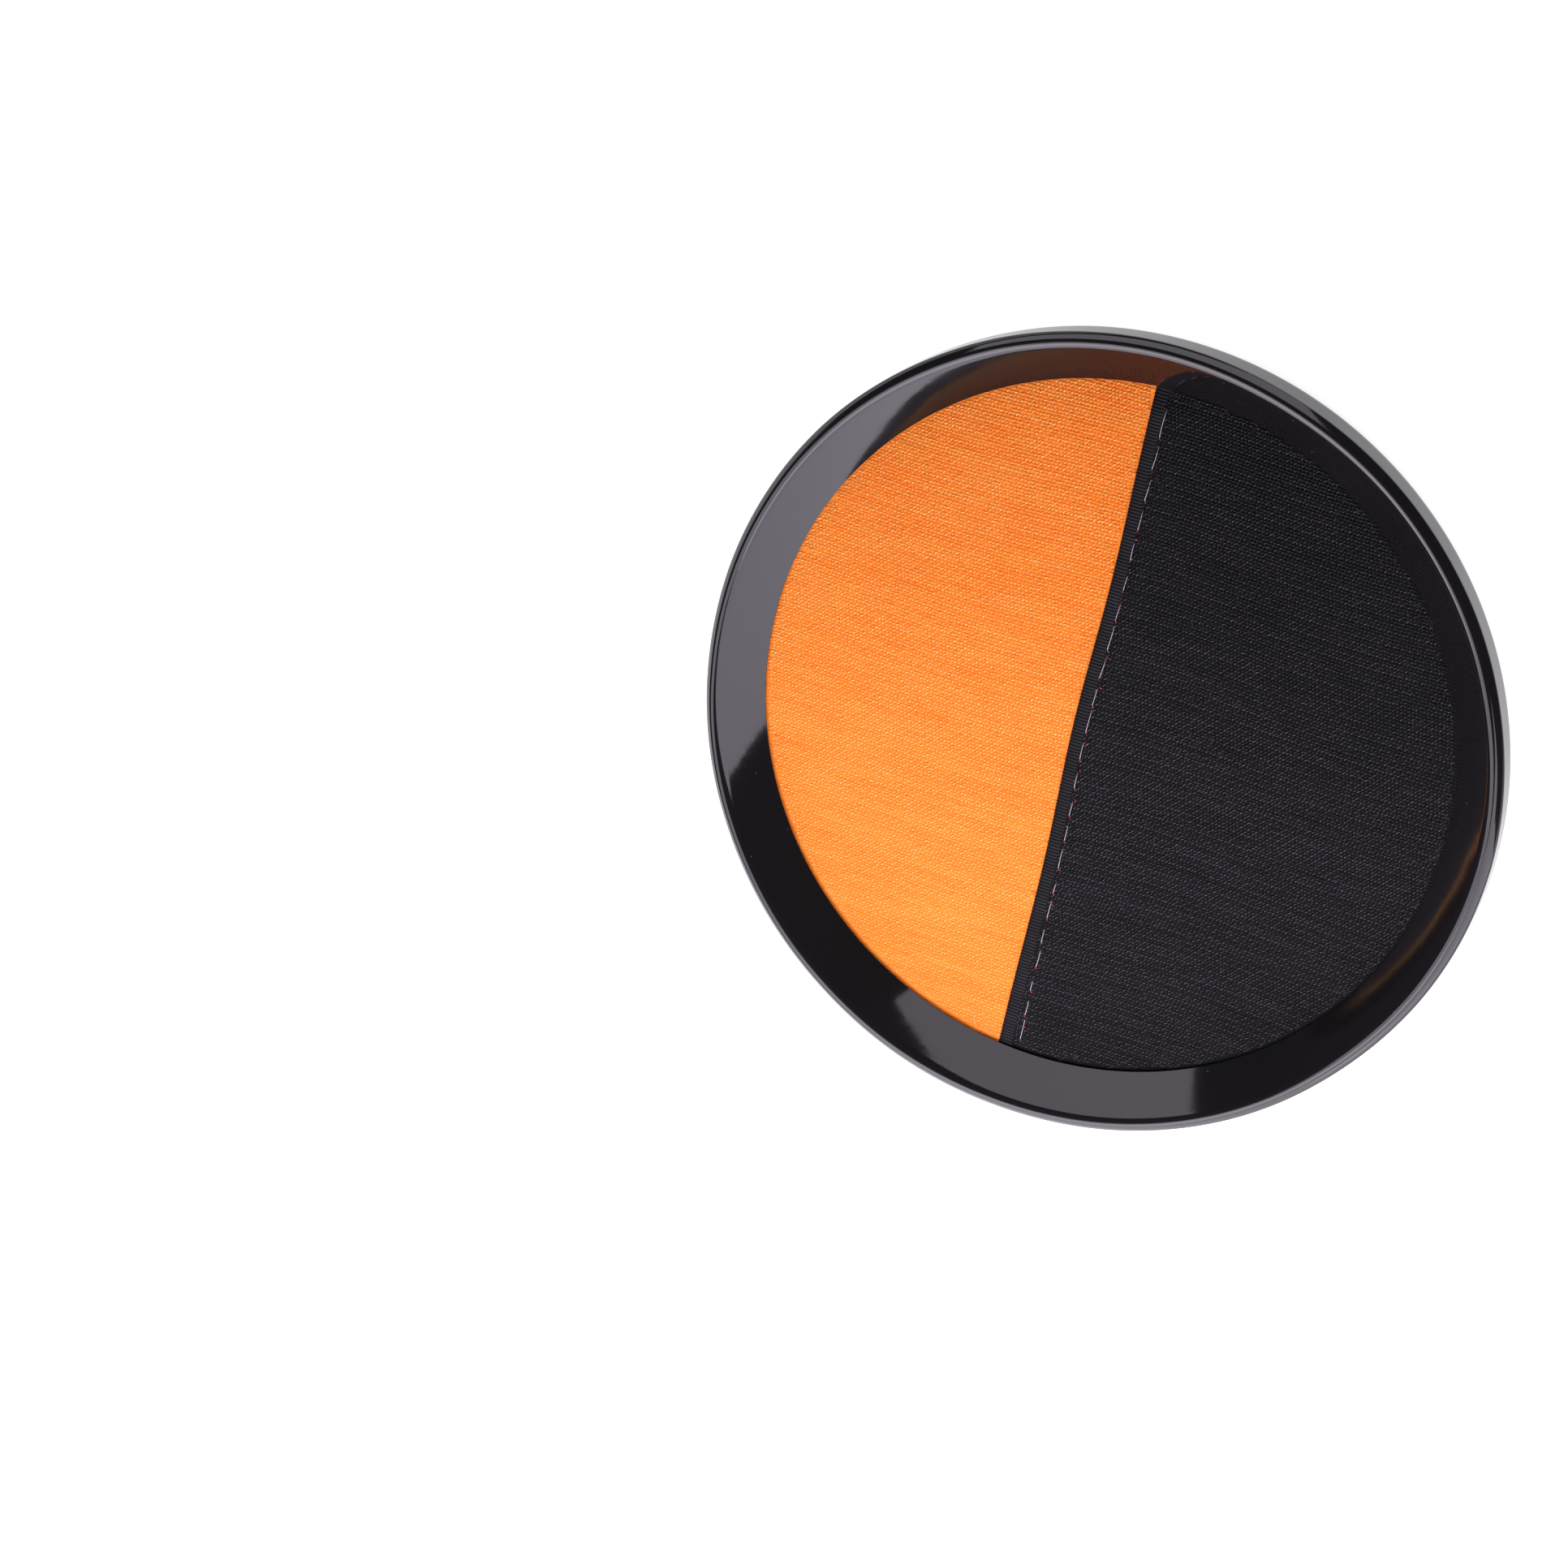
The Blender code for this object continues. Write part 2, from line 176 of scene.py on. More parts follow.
def lay_cloth(name, x_lines, y_lines, threads_run, shown_z, hidden_z, folds=()):
    """Cloth cut as part of the round: fine on the side that shows, with its edge and a plain hidden side.

    Folds are the places along X where the hidden side changes its slope.
    """
    spots, columns, numbers, faces = [], [], {}, []

    def corner(column, row):
        if (column, row) not in numbers:
            numbers[column, row] = len(spots)
            spots.append(threads_run(x_lines[column], y_lines[row]))
            columns.append(column)
        return numbers[column, row]

    for column in range(len(x_lines) - 1):
        middle_x = (x_lines[column] + x_lines[column + 1]) / 2.0
        for row in range(len(y_lines) - 1):
            middle_y = (y_lines[row] + y_lines[row + 1]) / 2.0
            if math.hypot(*threads_run(middle_x, middle_y)) < CLOTH_RADIUS:
                faces.append((
                    corner(column, row),
                    corner(column + 1, row),
                    corner(column + 1, row + 1),
                    corner(column, row + 1),
                ))

    # The outline runs along the sides that only one cell has, and its places move out to the round.
    sides = {(face[turn], face[(turn + 1) % 4]) for face in faces for turn in range(4)}
    after = {start: end for start, end in sides if (end, start) not in sides}
    edge = [min(after)]
    while after[edge[-1]] != edge[0]:
        edge.append(after[edge[-1]])

    straight_sides = {line for line in (0, len(x_lines) - 1) if abs(x_lines[line]) < 0.9 * CLOTH_RADIUS}
    for number in edge:
        x, y = spots[number]
        if columns[number] not in straight_sides:
            reach = CLOTH_RADIUS / math.hypot(x, y)
            spots[number] = (x * reach, y * reach)

    # An edge goes down to the hidden side, which is closed in flat strips from fold to fold.
    points = [(x, y, shown_z(x, y)) for x, y in spots]
    under = {}
    for number in edge:
        x, y = spots[number]
        under[number] = len(points)
        points.append((x, y, hidden_z(x, y)))
    for start, end in zip(edge, edge[1:] + edge[:1]):
        faces.append((end, start, under[start], under[end]))
    rest = edge
    for fold in sorted(folds, reverse=True):
        line = min(range(len(x_lines)), key=lambda number: abs(x_lines[number] - fold))
        ends = [place for place, number in enumerate(rest) if columns[number] == line]
        faces.append(tuple(under[number] for number in reversed(rest[ends[0]:ends[-1] + 1])))
        rest = rest[:ends[0] + 1] + rest[ends[-1]:]
    faces.append(tuple(under[number] for number in reversed(rest)))

    faces_down = shown_z(0.0, 0.0) < hidden_z(0.0, 0.0)
    return make_piece(name, points, faces, crease=60.0, inside_out=faces_down)


def back_cloth_under(x, y):
    """Tight cloth with faint puckers that fade from the sewn ends of the strap."""
    sewn_middle_x = 0.85 * strap_high.x
    from_end = math.hypot(abs(x) - sewn_middle_x, y)
    pull = 0.35 + 0.65 * math.exp(-(from_end / PUCKER_REACH) ** 2)
    folds = noise.noise(Vector((x * 45.0, y * 150.0, 3.0)))
    inside = 1.0 - blend_step(math.hypot(x, y), 0.93 * CLOTH_RADIUS, 0.97 * CLOTH_RADIUS)
    return back_low.z + BACK_PUCKER * pull * abs(folds) * inside


def reckon(tree, operation, *values):
    """Work one step of arithmetic on values of the finish, such as a sum or a product."""
    return add_node(tree, "Math", dict(enumerate(values)), operation=operation).outputs[0]


def plain_weave(tree, yarn):
    """Height of a plain weave: each yarn passes over and under its neighbours."""
    steps = 1.0 / yarn
    parts = add_node(tree, "SeparateXYZ", {0: place_on_piece(tree, (steps, steps, steps))})
    across = reckon(tree, "SINE", reckon(tree, "MULTIPLY", parts.outputs["X"], math.pi))
    along = reckon(tree, "SINE", reckon(tree, "MULTIPLY", parts.outputs["Y"], math.pi))
    return reckon(tree, "ABSOLUTE", reckon(tree, "MULTIPLY", across, along))


def cloth_gloss(shader, sheen, sheen_roughness, specular):
    """Set the soft gloss of yarn on the shader's own sockets."""
    shader.inputs["Sheen Weight"].default_value = sheen
    shader.inputs["Sheen Roughness"].default_value = sheen_roughness
    shader.inputs["Specular IOR Level"].default_value = specular


back_finish, tree, shader = new_finish("back_cloth_weave")
weave = plain_weave(tree, BACK_YARN)
wear = grain(tree, BACK_WEAR, 3.0)
# The cloth is painted paler where yarns cross over and darker between them, painted shade, and its tone
# varies in patches of wear.
weave_shade_and_wear = reckon(tree, "MULTIPLY", weave, wear)
tree.links.new(tone(tree, weave_shade_and_wear, BACK_CLOTH_DARK, BACK_CLOTH_LIGHT), shader.inputs["Base Color"])
tree.links.new(spread(tree, wear, 0.65, 0.85), shader.inputs["Roughness"])
cloth_gloss(shader, 0.25, 0.5, 0.35)
raise_bumps(tree, shader, weave, BACK_YARN_RISE, 0.8)

back_lines = even_lines(-CLOTH_RADIUS, CLOTH_RADIUS, BACK_CELL)
back_cloth = lay_cloth(
    "back_cloth_woven", back_lines, back_lines, straight, back_cloth_under, lambda x, y: back_high.z,
)
back_cloth.data.materials.append(back_finish)
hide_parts("back_cloth")


# Hand strap
# A band of black elastic with ribs along it, bowed so that a hand slips under.
# Each end is turned back on itself and sewn to the back cloth with a box of stitches.

STRAP_THICKNESS = 0.0010
STRAP_FLAT_LENGTH = 0.0700
STRAP_END_LENGTH = 0.0150
STRAP_PLY_GAP = 0.00004
STRAP_RIB = 0.0019
STRAP_RIB_STEPS = 4
STRAP_RIB_DEPTH = 0.00016
STRAP_STATION = 0.0011
STRAP_TURN_STEPS = 8
STRAP_CROSS_YARNS = 320.0
STRAP_CROSS_RISE = 0.0001
STRAP_FUZZ = 0.0003
STRAP_DARK = (0.006, 0.006, 0.007)
STRAP_LIGHT = (0.017, 0.017, 0.019)

strap_width = strap_high.y - strap_low.y
strap_sewn_x = strap_high.x - STRAP_END_LENGTH
strap_bow = strap_high.z - strap_low.z - STRAP_THICKNESS
ply = STRAP_THICKNESS - STRAP_PLY_GAP


def strap_top(x):
    """Height of the strap's upper side, from the bow in the middle to the sewn ends."""
    rise = blend_step(abs(x), STRAP_FLAT_LENGTH / 2.0, strap_sewn_x)
    return strap_high.z - strap_bow * (1.0 - rise)


def strap_line():
    """Side view of the strap's middle line, from one cut end round the turn and across to the other."""
    turn = STRAP_THICKNESS / 2.0
    centre_x = strap_high.x - STRAP_THICKNESS
    centre_z = strap_high.z - STRAP_THICKNESS
    lower = [(x, centre_z - turn) for x in even_lines(strap_sewn_x, centre_x, STRAP_STATION)]
    bend = []
    for step in range(1, STRAP_TURN_STEPS):
        angle = -math.pi / 2.0 + math.pi * step / STRAP_TURN_STEPS
        bend.append((centre_x + turn * math.cos(angle), centre_z + turn * math.sin(angle)))
    right_end = lower + bend
    left_end = [(-x, z) for x, z in right_end]
    top = [(x, strap_top(x) - turn) for x in even_lines(-centre_x, centre_x, STRAP_STATION)]
    return left_end + top + list(reversed(right_end))


def strap_section():
    """Cut across the strap as (across, rise) points: ribs on both sides, round edges."""
    half = strap_width / 2.0
    steps = STRAP_RIB_STEPS * round(strap_width / STRAP_RIB)
    side = []
    for index in range(steps + 1):
        across = -half + strap_width * index / steps
        dip = STRAP_RIB_DEPTH * (1.0 - abs(math.sin(math.pi * index / STRAP_RIB_STEPS)))
        from_edge = (half - abs(across)) / ply
        roundness = math.sqrt(max(0.0, 1.0 - max(0.0, 1.0 - 2.0 * from_edge) ** 2))
        side.append((across, (ply / 2.0 - dip) * roundness))
    return side + [(across, -rise) for across, rise in reversed(side[1:-1])]


def weave_strap():
    """Carry the strap's section along its middle line and close both cut ends."""
    line = strap_line()
    section = strap_section()
    points, faces = [], []
    for index, (x, z) in enumerate(line):
        before = line[max(index - 1, 0)]
        beyond = line[min(index + 1, len(line) - 1)]
        along = Vector((beyond[0] - before[0], 0.0, beyond[1] - before[1])).normalized()
        outward = Vector((-along.z, 0.0, along.x))
        for across, rise in section:
            spot = Vector((x, across, z)) + outward * rise
            points.append(tuple(spot))
    around = len(section)
    for station in range(len(line) - 1):
        for side in range(around):
            first = station * around + side
            second = station * around + (side + 1) % around
            faces.append((first, first + around, second + around, second))
    faces.append(tuple(range(around)))
    faces.append(tuple(reversed(range(len(points) - around, len(points)))))
    return make_piece("hand_strap_elastic", points, faces, crease=70.0)


strap_finish, tree, shader = new_finish("strap_elastic_knit")
yarns = {"Vector": place_on_piece(tree), "Scale": STRAP_CROSS_YARNS, "Distortion": 1.2, "Detail": 2.0}
strap_cross_rise_and_shade = add_node(tree, "TexWave", yarns, bands_direction="X").outputs["Fac"]
strap_fuzz = grain(tree, STRAP_FUZZ, 3.0)
# The elastic is painted paler on its raised cross yarns and darker in the grooves between them: painted
# shade.
tree.links.new(tone(tree, strap_cross_rise_and_shade, STRAP_DARK, STRAP_LIGHT), shader.inputs["Base Color"])
tree.links.new(spread(tree, strap_fuzz, 0.55, 0.8), shader.inputs["Roughness"])
cloth_gloss(shader, 0.3, 0.45, 0.35)
raise_bumps(tree, shader, strap_cross_rise_and_shade, STRAP_CROSS_RISE, 0.7)

hand_strap = weave_strap()
hand_strap.data.materials.append(strap_finish)
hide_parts("hand_strap")


# Strap stitching
# Black thread sewn through the turned ends of the strap and the back cloth, as a box with a cross in it.
# Each stitch is a short run of thread that dips into the elastic at both ends.

STRAP_STITCH = 0.0027
STRAP_STITCH_GAP = 0.0005
STRAP_STITCH_STEPS = 6
STRAP_THREAD_RADIUS = 0.00022
STRAP_THREAD_TWISTS = 900.0
STRAP_THREAD_PLY_RISE = 0.00004
THREAD_BLACK_DARK = (0.012, 0.012, 0.013)
THREAD_BLACK_LIGHT = (0.035, 0.035, 0.038)


def spin_yarn(points, faces, path, radius, sides, ends=1.0):
    """Add a round yarn along a path of places, thinned to the given share of its radius at both ends."""
    first = len(points)
    count = len(path)
    for index, spot in enumerate(path):
        along = path[min(index + 1, count - 1)] - path[max(index - 1, 0)]
        side = along.cross(Vector((0.0, 0.0, 1.0)))
        side = side.normalized() if side.length > 1e-9 else Vector((1.0, 0.0, 0.0))
        lift = side.cross(along).normalized()
        place = abs(2.0 * index / (count - 1) - 1.0)
        girth = radius * (1.0 - (1.0 - ends) * place ** 3)
        for turn in range(sides):
            angle = 2.0 * math.pi * turn / sides
            points.append(tuple(spot + girth * (math.cos(angle) * side + math.sin(angle) * lift)))
    for index in range(count - 1):
        for turn in range(sides):
            low = first + index * sides + turn
            high = first + index * sides + (turn + 1) % sides
            faces.append((low, high, high + sides, low + sides))
    faces.append(tuple(reversed(range(first, first + sides))))
    faces.append(tuple(range(first + (count - 1) * sides, first + count * sides)))


def sew_strap_end(node, name):
    """Sew a box with a cross in it where the model has its plain bar of stitching."""
    low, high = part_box(node)
    inset = (high.z - low.z) / 2.0
    surface = strap_high.z - 2.0 * STRAP_THICKNESS
    west, east = low.x + inset, high.x - inset
    south, north = low.y + inset, high.y - inset
    runs = [
        ((west, south), (east, south)),
        ((east, south), (east, north)),
        ((east, north), (west, north)),
        ((west, north), (west, south)),
        ((west, south), (east, north)),
        ((west, north), (east, south)),
    ]
    points, faces = [], []
    for (start_x, start_y), (end_x, end_y) in runs:
        length = math.hypot(end_x - start_x, end_y - start_y)
        stitches = round(length / STRAP_STITCH)
        for stitch in range(stitches):
            path = []
            for step in range(STRAP_STITCH_STEPS + 1):
                share = step / STRAP_STITCH_STEPS
                reach = (stitch + share + STRAP_STITCH_GAP / STRAP_STITCH * (0.5 - share)) / stitches
                sunk = STRAP_THREAD_RADIUS * (1.6 - 1.5 * math.sin(math.pi * share) ** 0.5)
                path.append(Vector((
                    start_x + (end_x - start_x) * reach,
                    start_y + (end_y - start_y) * reach,
                    surface + sunk - STRAP_THREAD_RADIUS,
                )))
            spin_yarn(points, faces, path, STRAP_THREAD_RADIUS, 8)
    stitching = make_piece(name, points, faces)
    stitching.data.materials.append(black_thread)
    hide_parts(node)


black_thread, tree, shader = new_finish("black_sewing_thread")
plies = {"Vector": place_on_piece(tree), "Scale": STRAP_THREAD_TWISTS, "Distortion": 0.6}
ply_twist_and_shade = add_node(tree, "TexWave", plies, bands_direction="DIAGONAL").outputs["Fac"]
# The thread is painted paler on its raised plies and darker in the grooves between them: painted shade.
tree.links.new(tone(tree, ply_twist_and_shade, THREAD_BLACK_DARK, THREAD_BLACK_LIGHT), shader.inputs["Base Color"])
tree.links.new(spread(tree, ply_twist_and_shade, 0.4, 0.6), shader.inputs["Roughness"])
raise_bumps(tree, shader, ply_twist_and_shade, STRAP_THREAD_PLY_RISE, 0.7)

sew_strap_end("strap_stitch_left", "left_box_stitching")
sew_strap_end("strap_stitch_right", "right_box_stitching")


# Orange loop cloth
# A knitted cloth cut as half of the round, its rows of small loops running across the seam.
# Its straight edge goes on as a crushed tongue under the black half, and the ring's lip holds the rest.

TUCK_DEPTH = 0.0013
GROUND_DEPTH = 0.00030
ROW_PITCH = 0.00157
ROW_RIDGE = 0.00011
ROW_DRIFT = 0.0007
ROW_DRIFT_LENGTH = 0.095
ROW_DRIFT_CHANGE = 0.31
LOOP_PITCH = 0.00088
LOOP_YARN = 0.00012
LOOP_RISE = 0.00042
COURSE_SHIFT = 0.76
RETURN_COURSE_LOWER = 0.28
RETURN_COURSE_PAINTED_SHADE = 0.24
FOURTH_COURSE_DEEPER = 0.12
STANDING_LOOP_HIGHER = 0.32
STANDING_LOOP_PAINTED_HIGHLIGHT = 0.32
LOOP_HEIGHT_PAINTED_LIGHT = 0.30
SEAM_WAVE = 0.0005
SEAM_WAVE_LENGTH = 0.084
SEAM_WAVE_FADE = 0.060
SEAM_WAVE_REACH = 0.012
SEAM_RAMP = 0.0020
TONGUE_THICKNESS = 0.0006
RIM_CLEARANCE = 0.0003
YARN_HAIR = 0.00016
YARN_HAIR_RISE = 0.00005
YARN_STREAK = 0.004
ORANGE_CELL = 0.0010
ORANGE_GROUND_PAINTED_SHADE = 0.10
ORANGE_PAINTED_SHADE = (1.0, 0.215, 0.020)
ORANGE = (1.0, 0.465, 0.069)
ORANGE_PAINTED_HIGHLIGHT = (1.0, 0.665, 0.235)

orange_low, orange_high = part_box("orange_panel")
black_low, black_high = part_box("black_panel")
face_z = orange_high.z
seam_edge_x = black_low.x
face_radius = CLOTH_RADIUS - TUCK_DEPTH


def row_drift(x, y):
    """How far a knitted row wanders off its straight line."""
    slow = math.sin(2.0 * math.pi * (x / ROW_DRIFT_LENGTH + y / ROW_DRIFT_CHANGE) + 0.6)
    return ROW_DRIFT * (slow + 0.35 * noise.noise(Vector((x * 40.0, y * 40.0, 0.0))))


def seam_wave(y):
    """Slow wave of the sewn edge to both sides of a straight line."""
    wave = math.cos(2.0 * math.pi * y / SEAM_WAVE_LENGTH)
    return -SEAM_WAVE * wave * math.exp(-(y / SEAM_WAVE_FADE) ** 2)


def knitted(x, y):
    """Threads of both loop cloths: rows that drift, and a seam with a slow wave."""
    near_seam = math.exp(-((x - seam_edge_x) / SEAM_WAVE_REACH) ** 2)
    return x + seam_wave(y) * near_seam, y + row_drift(x, y)


def row_ridge(x, y):
    """Rise and fall of the knitted ground, with a ridge for each of the two courses of a row."""
    return ROW_RIDGE * math.cos(4.0 * math.pi * (y - row_drift(x, y)) / ROW_PITCH)


def orange_ground(x, y):
    """Knitted ground under the loops, then a tongue crushed under the black cloth."""
    edge = seam_edge_x + seam_wave(y)
    tongue_z = orange_low.z + TONGUE_THICKNESS
    pile_z = face_z - GROUND_DEPTH + row_ridge(x, y)
    return pile_z - (pile_z - tongue_z) * blend_step(x, edge - SEAM_RAMP * 0.35, edge + SEAM_RAMP * 0.3)


def yarn_finish(name, shade_colour, middle, highlight_colour, sheen, specular, roughness):
    """Finish of a knitted yarn: painted shade down in the ground and a painted highlight at the top of
    each loop, with fine hair.
    """
    finish, tree, shader = new_finish(name)
    hair = grain(tree, YARN_HAIR, 3.0, (1.0, 2.5, 1.0))
    streak = grain(tree, YARN_STREAK, 2.0, (0.18, 1.0, 1.0))
    paleness_and_painted_light = add_node(tree, "Attribute", {}, attribute_name="yarn_tone_and_painted_light").outputs["Fac"]
    paleness_and_painted_light = reckon(tree, "ADD", paleness_and_painted_light, spread(tree, hair, -0.18, 0.18))
    paleness_and_painted_light = reckon(tree, "ADD", paleness_and_painted_light, spread(tree, streak, -0.12, 0.12))
    # The darkest colour is painted shade down in the ground and the palest a painted highlight at the top
    # of a loop.
    colour = tone(tree, spread(tree, paleness_and_painted_light, 0.0, 1.0, 0.0, 0.5), shade_colour, middle)
    colour = tone(tree, spread(tree, paleness_and_painted_light, 0.0, 1.0, 0.5, 1.0), colour, highlight_colour)
    tree.links.new(colour, shader.inputs["Base Color"])
    tree.links.new(spread(tree, hair, roughness - 0.12, roughness + 0.12), shader.inputs["Roughness"])
    cloth_gloss(shader, sheen, 0.35, specular)
    raise_bumps(tree, shader, hair, YARN_HAIR_RISE, 0.8)
    return finish


def set_yarn_tone_and_painted_light(piece, tones):
    """Store how pale each place of a yarn is, from 0 for painted shade down in the ground to 1 for a
    painted highlight at the top of a loop.
    """
    attribute = piece.data.attributes.new("yarn_tone_and_painted_light", "FLOAT", "POINT")
    attribute.data.foreach_set("value", tones)


def course_shifts(count, chance):
    """How far along each course starts: set on from the one before, mostly to one side, at times back."""
    shift, shifts = 0.0, []
    for number in range(count):
        shift += COURSE_SHIFT if chance.random() < 0.62 else -COURSE_SHIFT
        shifts.append(shift % 2.0)
    return shifts


def knit_loops(name, rows_x, covers, ground_z, paleness_and_painted_light, way, chance):
    """Small loops of every second course, so that two pieces of them, way 0 and way 1, fill the cloth.

    Each has a short leg that stands across the row and a crown that bends over along it. Every second
    loop of a course stands up and is painted paler as a highlight, and the one beside it lies lower.
    Loops of the return course, way 1, lie lower and are painted deeper as shade. A shape's places
    are shares of the loop pitch along the row, of the row pitch across it and of the loop's rise.
    """
    points, faces, tones = [], [], []
    columns = even_lines(rows_x[0], rows_x[1], LOOP_PITCH)
    courses = even_lines(-face_radius, face_radius, ROW_PITCH / 2.0)
    shifts = course_shifts(len(courses), random.Random(3))
    for number in range(way, len(courses), 2):
        course = courses[number]
        course_lift = chance.uniform(0.92, 1.08) - RETURN_COURSE_LOWER * way
        # The return course is painted deeper, as shade for lying lower.
        course_tone_and_painted_shade = paleness_and_painted_light(course) - RETURN_COURSE_PAINTED_SHADE * way
        course_tone_and_painted_shade -= FOURTH_COURSE_DEEPER if number % 4 == way else 0.0
        for place, column in enumerate(columns):
            stands = 1 - place % 2
            lift = LOOP_RISE * course_lift * chance.uniform(0.78, 1.02)
            lift *= 0.84 + STANDING_LOOP_HIGHER * stands
            lean = chance.uniform(-0.14, 0.14)
            reach = chance.uniform(0.70, 1.05)
            start = column + (shifts[number] - 1.0 + chance.uniform(-0.10, 0.10)) * LOOP_PITCH
            aside = chance.uniform(-0.04, 0.04)
            shape = [
                (lean, -0.30, -0.45),
                (0.06 + 0.4 * lean, 0.12 + aside, 0.95),
                (0.46 * reach, 0.24 + aside, 0.90),
                (0.92 * reach, 0.19, -0.45),
            ]
            path = []
            for along, across, rise in shape:
                x, y = knitted(start + along * LOOP_PITCH, course + across * ROW_PITCH)
                path.append(Vector((x, y, ground_z(x, y) + rise * lift)))
            if not all(covers(spot) for spot in path):
                continue
            spin_yarn(points, faces, path, LOOP_YARN * chance.uniform(0.8, 1.2), 3, 0.75)
            streak = noise.noise(Vector((start * 90.0, course * 900.0, 7.0)))
            # The standing loop is painted paler: a painted highlight.
            own = course_tone_and_painted_shade + STANDING_LOOP_PAINTED_HIGHLIGHT * stands + 0.24 * streak + chance.uniform(-0.12, 0.12)
            # Each loop is painted deeper at its feet and paler at its crown: painted shade and painted
            # highlight.
            for along, across, rise in shape:
                tones += [own + LOOP_HEIGHT_PAINTED_LIGHT * rise] * 3
    piece = make_piece(name, points, faces)
    set_yarn_tone_and_painted_light(piece, tones)
    return piece


orange_yarn = yarn_finish("orange_yarn", ORANGE_PAINTED_SHADE, ORANGE, ORANGE_PAINTED_HIGHLIGHT, 0.03, 0.2, 0.55)
orange_back_yarn = yarn_finish("orange_back_yarn", ORANGE_PAINTED_SHADE, ORANGE, ORANGE_PAINTED_HIGHLIGHT, 0.0, 0.1, 0.75)
drift_room = 0.002
orange_x_lines = even_lines(-CLOTH_RADIUS, orange_high.x, ORANGE_CELL)
orange_y_lines = even_lines(-CLOTH_RADIUS - drift_room, CLOTH_RADIUS + drift_room, ROW_PITCH / 5.0)
orange_cloth = lay_cloth(
    "orange_loop_cloth", orange_x_lines, orange_y_lines, knitted, orange_ground,
    lambda x, y: orange_low.z,
)
orange_cloth.data.materials.append(orange_back_yarn)
# The knitted ground under the loops is given a tone near the darkest yarn colour: painted shade.
set_yarn_tone_and_painted_light(orange_cloth, [ORANGE_GROUND_PAINTED_SHADE] * len(orange_cloth.data.vertices))


def on_orange(spot):
    """Whether a place is on the open orange face."""
    inside = math.hypot(spot.x, spot.y) < face_radius - RIM_CLEARANCE
    return inside and spot.x < seam_edge_x + seam_wave(spot.y) - LOOP_YARN


def orange_paleness_with_painted_shade(y):
    """How pale the orange loops are, with painted shade that makes them a little deeper beyond the middle,
    towards +Y.
    """
    return 0.49 - 0.12 * blend_step(y, -0.020, 0.035)


orange_rows_x = (-face_radius - LOOP_PITCH, seam_edge_x + 2.0 * LOOP_PITCH)
for way, loops_name in enumerate(["orange_loops", "orange_return_loops"]):
    loops = knit_loops(
        loops_name, orange_rows_x, on_orange, orange_ground, orange_paleness_with_painted_shade, way, random.Random(11 + way),
    )
    loops.data.materials.append(orange_yarn)
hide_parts("orange_panel")


# Black loop cloth
# The same knit in black for the other half, with a narrow woven edge ribbed across like a ribbon.
# The woven edge lies over the orange tongue and is sewn down through it.

EDGE_WIDTH = 0.0031
EDGE_RIB = 0.00077
EDGE_RIB_DEPTH = 0.00024
EDGE_RIB_PAINTED_LIGHT = 0.72
EDGE_TURN_DEPTH = 1.8 * EDGE_RIB_DEPTH
EDGE_TURN_WIDTH = 0.00025
EDGE_SCALLOP = 0.00018
EDGE_TO_KNIT = 0.0003
STITCH_INSET = 0.0031
STITCH_BOW = 0.14
STITCH_BOW_MIDDLE = 0.030
STITCH_CHANNEL = 0.00022
STITCH_CHANNEL_WIDTH = 0.0007
PROUD_FADE_START = 0.0053
PROUD_FADE_END = 0.0003
EDGE_CELL = 0.00028
EDGE_CELLS_BEYOND = 0.0006
BLACK_CELL = 0.0014
BLACK_GROUND_PAINTED_SHADE = 0.05
BLACK_PAINTED_SHADE = (0.0014, 0.0013, 0.0016)
BLACK = (0.0165, 0.0152, 0.0180)
BLACK_PAINTED_HIGHLIGHT = (0.084, 0.078, 0.090)

slope_end_x = orange_high.x + 2.0 * SEAM_RAMP


def stitch_line_x(y):
    """Where the line of stitches runs, a little further from the edge at both ends."""
    return seam_edge_x + seam_wave(y) + STITCH_INSET + STITCH_BOW * (y - STITCH_BOW_MIDDLE) ** 2


def black_height(x, y):
    """Upper side of the black cloth without its texture: proud over the tongue, then level."""
    proud = black_high.z - face_z
    over = 1.0 - blend_step(x, seam_edge_x + EDGE_WIDTH + SEAM_RAMP, slope_end_x)
    fade = blend_step(math.hypot(x, y), face_radius - PROUD_FADE_START, face_radius - PROUD_FADE_END)
    return face_z + proud * over * (1.0 - fade)


def stitch_pull(x, y):
    """How far the stitches pull the cloth down at this place."""
    aside = (x - stitch_line_x(y)) / STITCH_CHANNEL_WIDTH
    return STITCH_CHANNEL * math.exp(-aside * aside)


def past_edge(x, y):
    """How far a place lies from the sewn edge, towards the black half."""
    return x - seam_edge_x - seam_wave(y)


def edge_rib(y):
    """Ribs along the woven edge, from 0 between them to 1 on top."""
    return abs(math.cos(math.pi * y / EDGE_RIB))


def black_ground(x, y):
    """Ribbed woven edge, then the knitted ground under the loops."""
    from_edge = past_edge(x, y)
    turned = EDGE_TURN_DEPTH * math.exp(-from_edge / EDGE_TURN_WIDTH)
    woven = black_height(x, y) - EDGE_RIB_DEPTH * (1.0 - edge_rib(y)) - turned
    knit = black_height(x, y) - GROUND_DEPTH + row_ridge(x, y)
    into_knit = blend_step(from_edge, EDGE_WIDTH - EDGE_TO_KNIT, EDGE_WIDTH + EDGE_TO_KNIT)
    return woven + (knit - woven) * into_knit - stitch_pull(x, y)


def black_under(x, y):
    """Rides over the tongue and comes down to the board beyond it."""
    raised = orange_low.z + TONGUE_THICKNESS + RIM_CLEARANCE
    drop = blend_step(x, orange_high.x + RIM_CLEARANCE, orange_high.x + RIM_CLEARANCE + SEAM_RAMP)
    return raised - (raised - black_low.z) * drop


